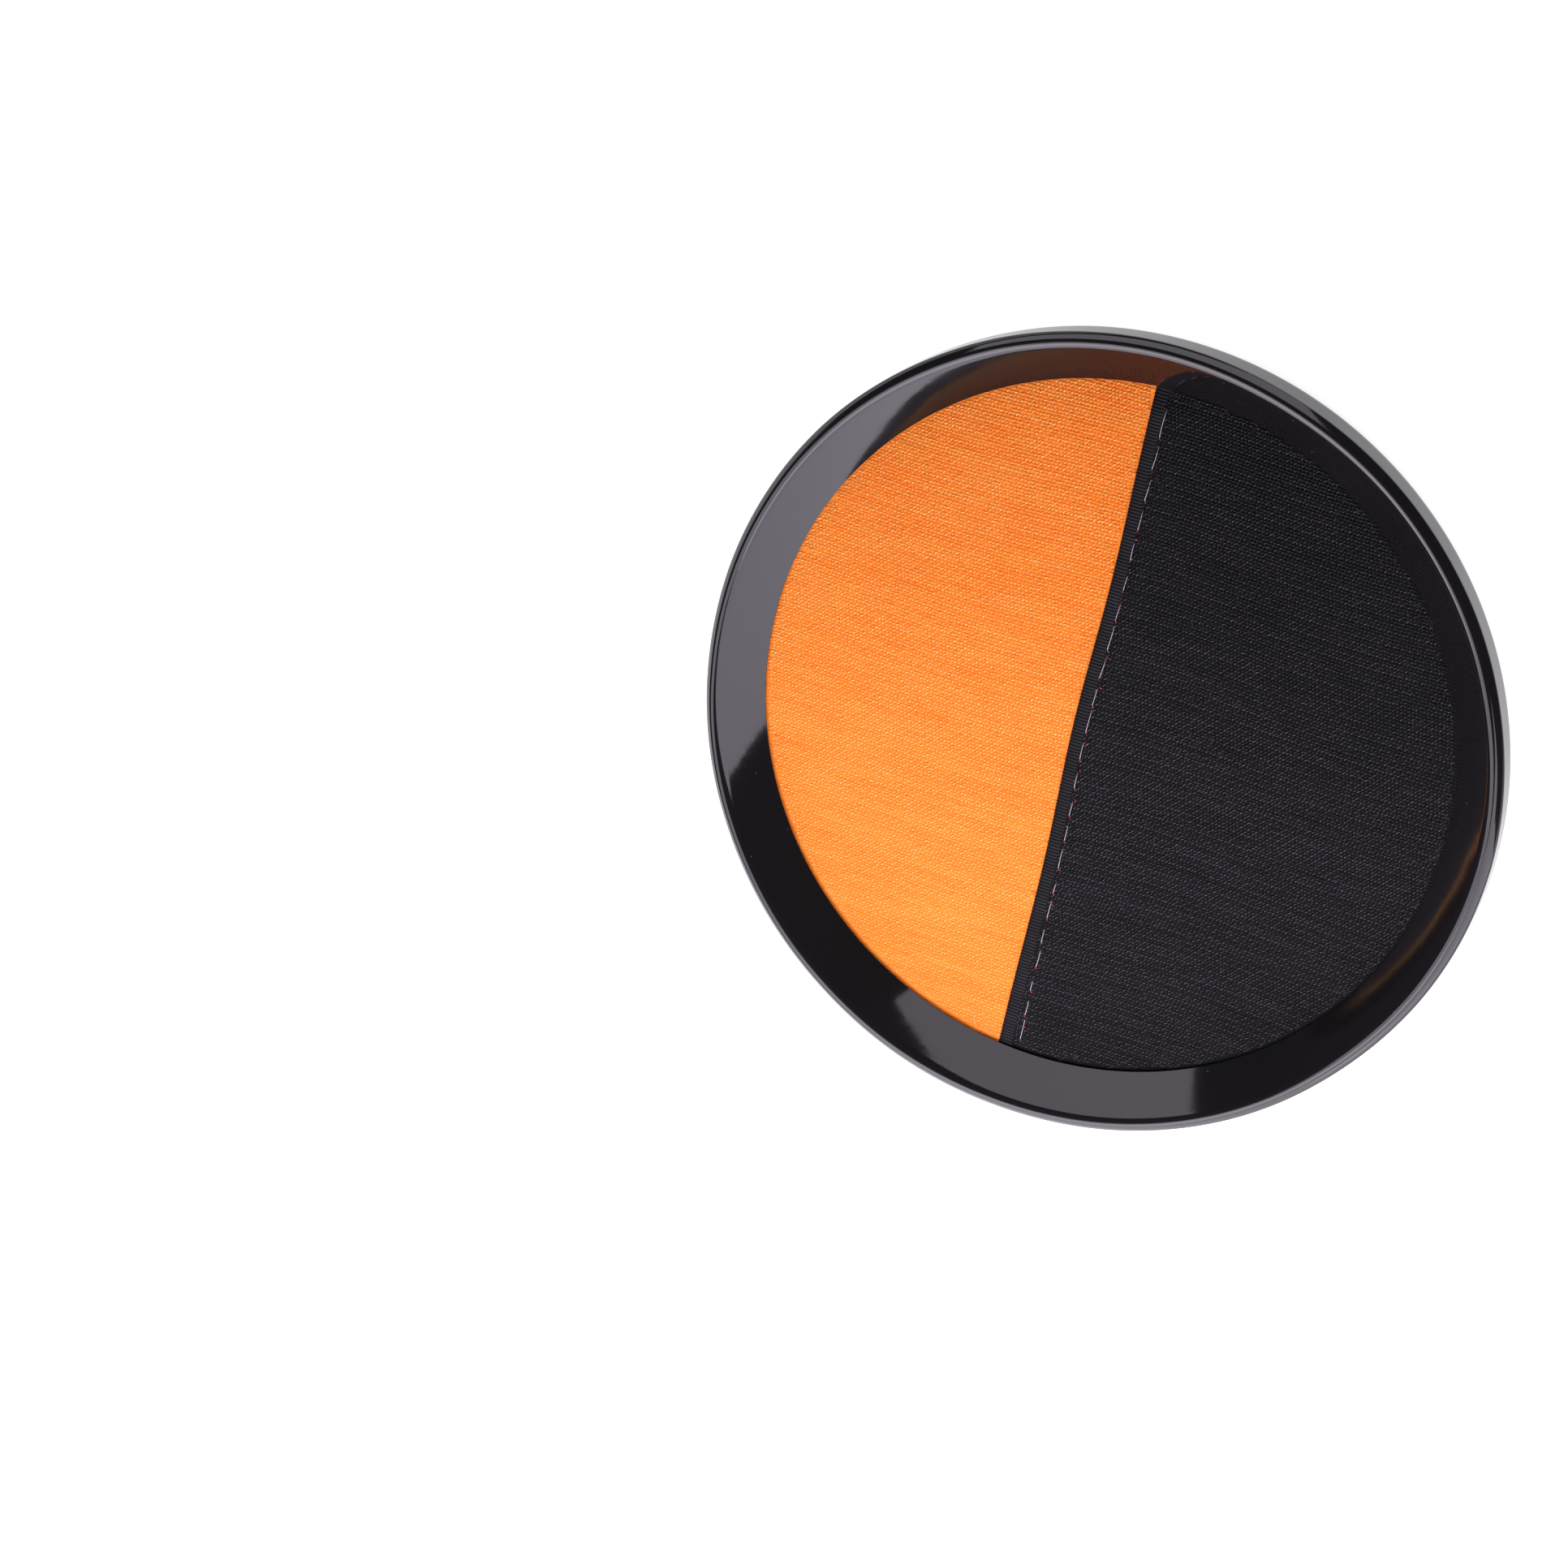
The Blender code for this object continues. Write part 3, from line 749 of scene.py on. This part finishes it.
def ribbed_then_knitted(x, y):
    """Threads of the black cloth: straight ribs at the scalloped woven edge, drifting rows beyond."""
    free = blend_step(x, seam_edge_x + EDGE_WIDTH, seam_edge_x + 3.0 * EDGE_WIDTH)
    scallop = EDGE_SCALLOP * edge_rib(y) * math.exp(-(x - seam_edge_x) / EDGE_RIB)
    return knitted(x, y)[0] - scallop, y + row_drift(x, y) * free


black_yarn = yarn_finish("black_yarn", BLACK_PAINTED_SHADE, BLACK, BLACK_PAINTED_HIGHLIGHT, 0.06, 0.30, 0.42)
black_back_yarn = yarn_finish("black_back_yarn", BLACK_PAINTED_SHADE, BLACK, BLACK_PAINTED_HIGHLIGHT, 0.0, 0.12, 0.65)
black_x_lines = even_lines(seam_edge_x, seam_edge_x + EDGE_WIDTH + EDGE_CELLS_BEYOND, EDGE_CELL)
black_x_lines += even_lines(black_x_lines[-1], CLOTH_RADIUS, BLACK_CELL)[1:]
black_y_lines = even_lines(-CLOTH_RADIUS - drift_room, CLOTH_RADIUS + drift_room, EDGE_RIB / 4.0)
under_folds = [orange_high.x + RIM_CLEARANCE, orange_high.x + RIM_CLEARANCE + SEAM_RAMP]
black_cloth = lay_cloth(
    "black_loop_cloth", black_x_lines, black_y_lines, ribbed_then_knitted, black_ground, black_under,
    under_folds,
)
black_cloth.data.materials.append(black_back_yarn)
# The black knitted ground under the loops is likewise given painted shade.
black_tones = []
# The woven edge is painted paler on the tops of its ribs and darker between them: painted highlight and
# painted shade.
for vertex in black_cloth.data.vertices:
    on_edge = past_edge(vertex.co.x, vertex.co.y) < EDGE_WIDTH
    black_tones.append(EDGE_RIB_PAINTED_LIGHT * edge_rib(vertex.co.y) ** 4 if on_edge else BLACK_GROUND_PAINTED_SHADE)
set_yarn_tone_and_painted_light(black_cloth, black_tones)


def on_black(spot):
    """Whether a place is on the looped part of the black face."""
    inside = math.hypot(spot.x, spot.y) < face_radius - RIM_CLEARANCE
    return inside and past_edge(spot.x, spot.y) > EDGE_WIDTH - LOOP_YARN


def black_paleness_with_painted_shade(y):
    """How pale the black loops are, with painted shade that makes them deeper beyond the middle, towards
    +Y.
    """
    return 0.50 - 0.25 * blend_step(y, -0.015, 0.045)


black_rows_x = (seam_edge_x, face_radius + LOOP_PITCH)
for way, loops_name in enumerate(["black_loops", "black_return_loops"]):
    loops = knit_loops(
        loops_name, black_rows_x, on_black, black_ground, black_paleness_with_painted_shade, way, random.Random(23 + way),
    )
    loops.data.materials.append(black_yarn)
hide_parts("black_panel")


# Seam stitching
# One line of light grey thread sewn through the woven edge and the orange tongue.
# A red bobbin thread underneath is drawn up a little at each hole.

STITCH_LENGTH = 0.0068
STITCH_STRETCH = 0.008
STITCH_STEPS = 12
THREAD_RADIUS = 0.00009
THREAD_TWISTS = 1400.0
THREAD_PLY_RISE = 0.00003
THREAD_ROOT = 0.00024
THREAD_ARCH = 0.00038
THREAD_SAG = 0.00062
BOBBIN_RADIUS = 0.00013
BOBBIN_STEPS = 6
BOBBIN_ROOT = 0.00012
BOBBIN_ARCH = 0.00026
SEAM_END_CLEARANCE = 0.0020
THREAD_GREY = (0.26, 0.23, 0.25)
THREAD_WHITE = (0.58, 0.52, 0.54)
BOBBIN_DEEP = (0.20, 0.008, 0.006)
BOBBIN_RED = (0.62, 0.035, 0.018)


def lay_stitch(points, faces, hole_y, length, chance):
    """Thread that comes up at its hole, lies on the cloth, and sinks away between the loops."""
    path = []
    wander = chance.uniform(-0.00018, 0.00022)
    drift = chance.uniform(-0.00010, 0.00020)
    shown = chance.uniform(0.45, 0.85)
    for step in range(STITCH_STEPS + 1):
        share = step / STITCH_STEPS
        y = hole_y + share * length
        x = stitch_line_x(y) + wander * math.sin(math.pi * share) + drift * share
        rise = math.sin(min(1.0, share / 0.10) * math.pi / 2.0)
        sink = 0.35 * blend_step(share, 0.15, shown)
        sink += 0.65 * blend_step(share, shown - 0.10, shown + 0.15)
        surface = black_height(x, y) - stitch_pull(x, y)
        path.append(Vector((x, y, surface - THREAD_ROOT + rise * THREAD_ARCH - sink * THREAD_SAG)))
    spin_yarn(points, faces, path, THREAD_RADIUS, 8)


def lay_bobbin_speck(points, faces, x, y, chance):
    """Small turn of the red bobbin thread that shows at a hole."""
    turn = chance.uniform(0.0, math.pi)
    reach = chance.uniform(0.00014, 0.00026)
    path = []
    for step in range(BOBBIN_STEPS + 1):
        angle = math.pi * step / BOBBIN_STEPS
        spot_x = x - reach * math.cos(angle) * math.cos(turn)
        spot_y = y - reach * math.cos(angle) * math.sin(turn)
        surface = black_height(spot_x, spot_y) - stitch_pull(spot_x, spot_y)
        path.append(Vector((spot_x, spot_y, surface - BOBBIN_ROOT + BOBBIN_ARCH * math.sin(angle))))
    spin_yarn(points, faces, path, BOBBIN_RADIUS * chance.uniform(0.75, 1.1), 6)


def twisted_thread(name, dark, light):
    """Finish of a twisted sewing thread: its plies show as slanting bands, painted paler where they rise
    and darker in the grooves between them, painted shade.
    """
    finish, tree, shader = new_finish(name)
    plies = {"Vector": place_on_piece(tree), "Scale": THREAD_TWISTS, "Distortion": 0.8}
    twist_and_shade = add_node(tree, "TexWave", plies, bands_direction="DIAGONAL").outputs["Fac"]
    tree.links.new(tone(tree, twist_and_shade, dark, light), shader.inputs["Base Color"])
    tree.links.new(spread(tree, twist_and_shade, 0.3, 0.5), shader.inputs["Roughness"])
    cloth_gloss(shader, 0.15, 0.3, 0.5)
    raise_bumps(tree, shader, twist_and_shade, THREAD_PLY_RISE, 0.7)
    return finish


sewing = random.Random(5)
half_seam = math.sqrt((face_radius - SEAM_END_CLEARANCE) ** 2 - seam_edge_x ** 2)
thread_points, thread_faces = [], []
speck_points, speck_faces = [], []
hole_y = -half_seam
while hole_y < half_seam - 0.5 * STITCH_LENGTH:
    length = STITCH_LENGTH + STITCH_STRETCH * hole_y
    length = min(length * sewing.uniform(0.95, 1.05), half_seam - hole_y)
    lay_stitch(thread_points, thread_faces, hole_y, length, sewing)
    hole_x = stitch_line_x(hole_y)
    lay_bobbin_speck(speck_points, speck_faces, hole_x + sewing.uniform(-0.0001, 0.0004), hole_y, sewing)
    if sewing.random() < 0.55:
        aside = sewing.uniform(0.0003, 0.0011)
        before = hole_y - sewing.uniform(0.0012, 0.0026)
        lay_bobbin_speck(speck_points, speck_faces, hole_x + aside, before, sewing)
    hole_y += length

seam_thread = make_piece("seam_stitches", thread_points, thread_faces)
seam_thread.data.materials.append(twisted_thread("grey_sewing_thread", THREAD_GREY, THREAD_WHITE))
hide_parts("seam_thread")
bobbin_thread = make_piece("bobbin_thread", speck_points, speck_faces)
bobbin_thread.data.materials.append(twisted_thread("red_bobbin_thread", BOBBIN_DEEP, BOBBIN_RED))


# Stray fibres
# Fine orange and black hairs that have come loose from the loops: many of them along the ring's wall,
# and a thin scatter over both halves. Each is rooted in the cloth.

FIBRE_RADIUS = 0.00003
FIBRE_LENGTH = 0.0024
FIBRE_STEPS = 7
FIBRE_FROM_WALL = 0.0007


def grow_fibres(name, count, covers, ground_z, turns, chance):
    """Scatter curved hairs over part of the face, more of them by the ring's wall."""
    points, faces = [], []
    by_the_wall = face_radius - FIBRE_FROM_WALL
    grown = 0
    while grown < count:
        angle = chance.uniform(turns[0], turns[1])
        reach = face_radius * math.sqrt(chance.random()) if chance.random() < 0.5 else by_the_wall
        x, y = reach * math.cos(angle), reach * math.sin(angle)
        heading = chance.uniform(0.0, 2.0 * math.pi)
        curl = chance.uniform(-2.6, 2.6)
        length = FIBRE_LENGTH * chance.uniform(0.5, 1.4)
        height = chance.uniform(0.0003, 0.0008)
        path = []
        for step in range(FIBRE_STEPS + 1):
            share = step / FIBRE_STEPS
            z = ground_z(x, y) + height * math.sin(0.85 * math.pi * share)
            path.append(Vector((x, y, z)))
            x += math.cos(heading + curl * share) * length / FIBRE_STEPS
            y += math.sin(heading + curl * share) * length / FIBRE_STEPS
        if all(covers(spot) for spot in path):
            spin_yarn(points, faces, path, FIBRE_RADIUS, 3, 0.6)
            grown += 1
    piece = make_piece(name, points, faces)
    # Every hair is given the palest yarn colour: a painted highlight.
    set_yarn_tone_and_painted_light(piece, [1.0] * len(points))
    return piece


orange_fibres = grow_fibres(
    "orange_fibres", 260, on_orange, orange_ground, (0.5 * math.pi, 1.5 * math.pi), random.Random(31),
)
orange_fibres.data.materials.append(orange_yarn)
black_fibres = grow_fibres(
    "black_fibres", 320, on_black, black_ground, (-0.55 * math.pi, 0.55 * math.pi), random.Random(37),
)
black_fibres.data.materials.append(black_yarn)


# Ring
# One strip of glossy black vinyl bent into a ring, with a rounded crest and a sloping inner wall.
# Its groove grips the edges of the cloths and the board, and its outer side leans in to a flat foot.

RING_CREST_RISE = 0.0094
RING_BELT_BOTTOM_RISE = 0.0019
RING_CREST_INSET = 0.0018
WALL_TOP_SLOPE = math.radians(40.5)
WALL_BULGE = 0.00010
WALL_RIPPLE = 0.000018
INNER_TURN_RADIUS = 0.0026
OUTER_TURN_RADIUS = 0.0009
SHOULDER_SLOPE = math.radians(47.0)
SHOULDER_CORNER_RADIUS = 0.0005
SHOULDER_BULGE = 0.00004
LIP_LAND = 0.0003
LIP_BEVEL = 0.00008
SKIRT_LEAN = math.radians(31.0)
BELT_BEND_RADIUS = 0.0050
FOOT_EDGE_RADIUS = 0.0012
FOOT_INNER_OUTSET = 0.0011
BACK_LIP_REACH = 0.0008
BACK_LIP_THICKNESS = 0.0007
TUCK_CLEARANCE = 0.0006
RING_TURNS = 384
CREST_WAVER = 0.00010
CREST_DENT = 0.00055
CREST_DENT_TURN = math.radians(322.0)
CREST_DENT_SPAN = math.radians(24.0)
VINYL_HAZE_CLOUD = 0.030
VINYL_GRAIN = 0.0022
VINYL_GRAIN_DEPTH = 0.00001
DUST_CELLS = 420.0
DUST_SPOT = 0.045
DUST_LEFT_OUT = 0.88
VINYL_BLACK = (0.0045, 0.0040, 0.0046)
VINYL_HAZE = (0.0085, 0.0075, 0.0085)
DUST_GREY = (0.17, 0.16, 0.155)

ring_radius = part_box("rim")[1].x
groove_radius = CLOTH_RADIUS + TUCK_CLEARANCE


def arc_points(centre, size, first, last, steps):
    """Points (radius, height) on an arc of the given size, both ends included."""
    points = []
    for index in range(steps + 1):
        angle = first + (last - first) * index / steps
        points.append((centre[0] + size * math.cos(angle), centre[1] + size * math.sin(angle)))
    return points


def points_between(start, end, steps, bulge=0.0):
    """Points between two corners of the section, on a line that swells sideways by the bulge."""
    points = []
    run, rise = end[0] - start[0], end[1] - start[1]
    length = math.hypot(run, rise)
    for step in range(1, steps):
        share = step / steps
        swell = 4.0 * bulge * share * (1.0 - share) / length
        points.append((start[0] + run * share - rise * swell, start[1] + rise * share + run * swell))
    return points


def crest_points():
    """Round turn from the wall to the crest, and a nearly flat shoulder down to the belt's corner."""
    crest_radius = ring_radius - RING_CREST_INSET
    crest_z = face_z + RING_CREST_RISE
    top = math.pi / 2.0
    shoulder = top - SHOULDER_SLOPE
    inner = (crest_radius, crest_z - INNER_TURN_RADIUS)
    points = arc_points(inner, INNER_TURN_RADIUS, top + WALL_TOP_SLOPE, top, 12)
    outer = (crest_radius, crest_z - OUTER_TURN_RADIUS)
    points += arc_points(outer, OUTER_TURN_RADIUS, top, shoulder, 8)[1:]
    corner_radius = ring_radius - SHOULDER_CORNER_RADIUS
    shoulder_end = corner_radius + SHOULDER_CORNER_RADIUS * math.sin(SHOULDER_SLOPE)
    drop = (shoulder_end - points[-1][0]) * math.tan(SHOULDER_SLOPE)
    corner_z = points[-1][1] - drop - SHOULDER_CORNER_RADIUS * math.cos(SHOULDER_SLOPE)
    corner = arc_points((corner_radius, corner_z), SHOULDER_CORNER_RADIUS, shoulder, 0.0, 6)
    return points + points_between(points[-1], corner[0], 6, SHOULDER_BULGE) + corner


def ring_section():
    """Closed section of the ring as (radius, height) points, from the front lip over the crest."""
    front_lip_z = face_z + RIM_CLEARANCE
    back_lip_z = back_low.z - RIM_CLEARANCE
    lip_top = (face_radius, front_lip_z + LIP_LAND)
    bead = crest_points()
    bend_centre = (ring_radius - BELT_BEND_RADIUS, face_z + RING_BELT_BOTTOM_RISE)
    bend = arc_points(bend_centre, BELT_BEND_RADIUS, 0.0, -SKIRT_LEAN, 10)
    bend_end_radius, bend_end_z = bend[-1]
    foot_arc_z = FOOT_EDGE_RADIUS * (1.0 - math.sin(SKIRT_LEAN))
    foot_arc_start = bend_end_radius - (bend_end_z - foot_arc_z) * math.tan(SKIRT_LEAN)
    foot_centre = (foot_arc_start - FOOT_EDGE_RADIUS * math.cos(SKIRT_LEAN), FOOT_EDGE_RADIUS)
    foot = arc_points(foot_centre, FOOT_EDGE_RADIUS, -SKIRT_LEAN, -math.pi / 2.0, 8)
    foot_inner = (face_radius + FOOT_INNER_OUTSET, 0.0)
    back_lip = (face_radius - BACK_LIP_REACH, back_lip_z - BACK_LIP_THICKNESS)
    section = [(groove_radius, front_lip_z), (face_radius + LIP_BEVEL, front_lip_z)]
    section += [(face_radius, front_lip_z + LIP_BEVEL), lip_top]
    section += points_between(lip_top, bead[0], 16, WALL_BULGE)
    section += bead
    section += points_between(bead[-1], bend[0], 6)
    section += bend
    section += points_between(bend[-1], foot[0], 8)
    section += foot
    section += [foot_inner]
    section += points_between(foot_inner, back_lip, 5)
    section += [back_lip, (face_radius - BACK_LIP_REACH, back_lip_z), (groove_radius, back_lip_z)]
    return section


def turn_ring():
    """Carry the section round the paddle, with a small waver, one shallow dent and a faint ripple."""
    section = ring_section()
    points, faces = [], []
    for turn in range(RING_TURNS):
        angle = 2.0 * math.pi * turn / RING_TURNS
        outward = Vector((math.cos(angle), math.sin(angle), 0.0))
        waver = math.sin(3.0 * angle + 1.0) + 0.6 * math.sin(7.0 * angle + 2.0)
        waver += 0.3 * math.sin(13.0 * angle + 0.5)
        dent = CREST_DENT * math.exp(-((angle - CREST_DENT_TURN) / CREST_DENT_SPAN) ** 2)
        for radius, height in section:
            up_the_wall = blend_step(height, face_z, face_z + RING_CREST_RISE)
            spot = outward * radius
            ripple = noise.noise(Vector((spot.x * 110.0, spot.y * 110.0, height * 150.0)))
            spot += outward * ((CREST_WAVER * waver - dent) * up_the_wall + WALL_RIPPLE * ripple)
            spot.z = height + 0.4 * CREST_WAVER * up_the_wall * math.sin(5.0 * angle + 0.3)
            points.append(tuple(spot))
    around = len(section)
    for turn in range(RING_TURNS):
        following = (turn + 1) % RING_TURNS
        for index in range(around):
            beyond = (index + 1) % around
            faces.append((
                turn * around + index,
                turn * around + beyond,
                following * around + beyond,
                following * around + index,
            ))
    return make_piece("vinyl_ring", points, faces, crease=35.0, inside_out=True)


vinyl, tree, shader = new_finish("glossy_black_vinyl")
haze = grain(tree, VINYL_HAZE_CLOUD, 4.0)
dust_cells = add_node(tree, "TexVoronoi", {"Vector": place_on_piece(tree), "Scale": DUST_CELLS})
dust_spots = reckon(tree, "LESS_THAN", dust_cells.outputs["Distance"], DUST_SPOT)
dust_draw = add_node(tree, "SeparateColor", {0: dust_cells.outputs["Color"]}).outputs[0]
dust = reckon(tree, "MULTIPLY", dust_spots, reckon(tree, "GREATER_THAN", dust_draw, DUST_LEFT_OUT))
clean_vinyl = tone(tree, haze, VINYL_BLACK, VINYL_HAZE)
tree.links.new(tone(tree, dust, clean_vinyl, DUST_GREY), shader.inputs["Base Color"])
dullness = reckon(tree, "MAXIMUM", spread(tree, haze, 0.045, 0.10, 0.3, 0.7), dust)
tree.links.new(dullness, shader.inputs["Roughness"])
raise_bumps(tree, shader, grain(tree, VINYL_GRAIN, 2.0), VINYL_GRAIN_DEPTH, 0.5)

ring = turn_ring()
ring.data.materials.append(vinyl)
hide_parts("rim")


# Floor
# A sheet of milky glass lit from below, as on a light table. Its glow fades out towards the paddle and is
# absent under it, which paints a soft shade round the paddle's foot.

FLOOR_RADIUS = 4.0
FLOOR_SIDES = 64
FLOOR_CLOUD = 0.05
FLOOR_PALE = (0.42, 0.42, 0.42)
FLOOR_WHITE = (0.46, 0.46, 0.46)
FLOOR_GLOW = 0.92
GLOW_TINT = (1.0, 0.99, 1.0)
GLOW_START = 0.079
GLOW_FULL = 0.0905

floor_points = []
for turn in range(FLOOR_SIDES):
    angle = 2.0 * math.pi * turn / FLOOR_SIDES
    floor_points.append((FLOOR_RADIUS * math.cos(angle), FLOOR_RADIUS * math.sin(angle), 0.0))
floor_mesh = bpy.data.meshes.new("floor")
floor_mesh.from_pydata(floor_points, [], [tuple(range(FLOOR_SIDES))])
floor = bpy.data.objects.new("floor", floor_mesh)
bpy.context.scene.collection.objects.link(floor)
floor_finish, tree, shader = new_finish("pale_floor")
floor_clouds = grain(tree, FLOOR_CLOUD, 3.0)
tree.links.new(tone(tree, floor_clouds, FLOOR_PALE, FLOOR_WHITE), shader.inputs["Base Color"])
shader.inputs["Roughness"].default_value = 0.9
shader.inputs["Specular IOR Level"].default_value = 0.1
shader.inputs["Emission Color"].default_value = (*GLOW_TINT, 1.0)
# The glow grows from nothing under the paddle to full just beyond its foot, painting a soft shade round
# it.
from_middle = add_node(tree, "VectorMath", {0: place_on_piece(tree)}, operation="LENGTH").outputs["Value"]
floor_glow_with_painted_shade = spread(tree, from_middle, 0.0, FLOOR_GLOW, GLOW_START, GLOW_FULL)
tree.links.new(floor_glow_with_painted_shade, shader.inputs["Emission Strength"])
floor.data.materials.append(floor_finish)


# Studio light
# Soft boxes round the paddle: a wide one standing close by on the -Y side, a small one leaning over it,
# and an upright one beyond +Y whose reflection shows in the ring's inner wall.

FACE_CENTRE = Vector((0.0, 0.0, face_z))
LIGHT_TINT = (1.0, 0.93, 1.06)
ROOM_TINT = (0.96, 0.95, 1.0)
ROOM_STRENGTH = 0.08


def soft_box(name, turn, lift, distance, width, height, radiance):
    """Flat light that looks at the face from a direction, as bright as a mirror would show it."""
    lamp = bpy.data.lights.new(name, "AREA")
    lamp.color = LIGHT_TINT
    lamp.shape = "RECTANGLE"
    lamp.size = width
    lamp.size_y = height
    lamp.energy = radiance * math.pi * width * height
    soft = bpy.data.objects.new(name, lamp)
    turn, lift = math.radians(turn), math.radians(lift)
    outward = Vector((math.cos(lift) * math.cos(turn), math.cos(lift) * math.sin(turn), math.sin(lift)))
    soft.location = FACE_CENTRE + distance * outward
    soft.rotation_euler = outward.to_track_quat("Z", "Y").to_euler()
    soft.visible_camera = False
    bpy.context.scene.collection.objects.link(soft)


soft_box("wall_of_light", turn=-62.0, lift=33.0, distance=0.25, width=0.67, height=0.38, radiance=3.1)
soft_box("leaning_box", turn=-111.0, lift=50.0, distance=0.38, width=0.34, height=0.27, radiance=2.9)
soft_box("upright_box", turn=108.0, lift=21.0, distance=0.90, width=1.12, height=0.52, radiance=2.0)

world = bpy.data.worlds.new("studio")
world.use_nodes = True
bpy.context.scene.world = world
backdrop = world.node_tree.nodes["Background"]
backdrop.inputs["Color"].default_value = (*ROOM_TINT, 1.0)
backdrop.inputs["Strength"].default_value = ROOM_STRENGTH
bpy.context.scene.view_settings.view_transform = "Standard"


# Camera
# A long lens high over the face. These values place the face as the photograph shows it:
# its tilt, the way it leans, the run of the seam across the picture, and its centre seen from the lens.

PICTURE_SIDE_PIXELS = 1932.0
FOCAL_LENGTH_PIXELS = 5499.0
SENSOR_WIDTH_MM = 36.0
FACE_TILT = math.radians(26.96)
FACE_LEAN = math.radians(-141.3)
SEAM_RUN = math.radians(77.81)
CENTRE_FROM_LENS = Vector((0.0714, 0.0117, -1.0))

out_of_face = Vector((
    math.sin(FACE_TILT) * math.cos(FACE_LEAN),
    math.sin(FACE_TILT) * math.sin(FACE_LEAN),
    math.cos(FACE_TILT),
))
seam_in_view = Vector((math.cos(SEAM_RUN), math.sin(SEAM_RUN), 0.0))
seam_in_view.z = -(out_of_face.x * seam_in_view.x + out_of_face.y * seam_in_view.y) / out_of_face.z
seam_in_view.normalize()
across_in_view = seam_in_view.cross(out_of_face)
view_to_paddle = Matrix((across_in_view, seam_in_view, out_of_face))

lens = bpy.data.cameras.new("camera")
lens.sensor_width = SENSOR_WIDTH_MM
lens.lens = SENSOR_WIDTH_MM * FOCAL_LENGTH_PIXELS / PICTURE_SIDE_PIXELS
camera = bpy.data.objects.new("camera", lens)
camera.matrix_world = (
    Matrix.Translation(FACE_CENTRE - view_to_paddle @ CENTRE_FROM_LENS) @ view_to_paddle.to_4x4()
)
bpy.context.scene.collection.objects.link(camera)
bpy.context.scene.camera = camera
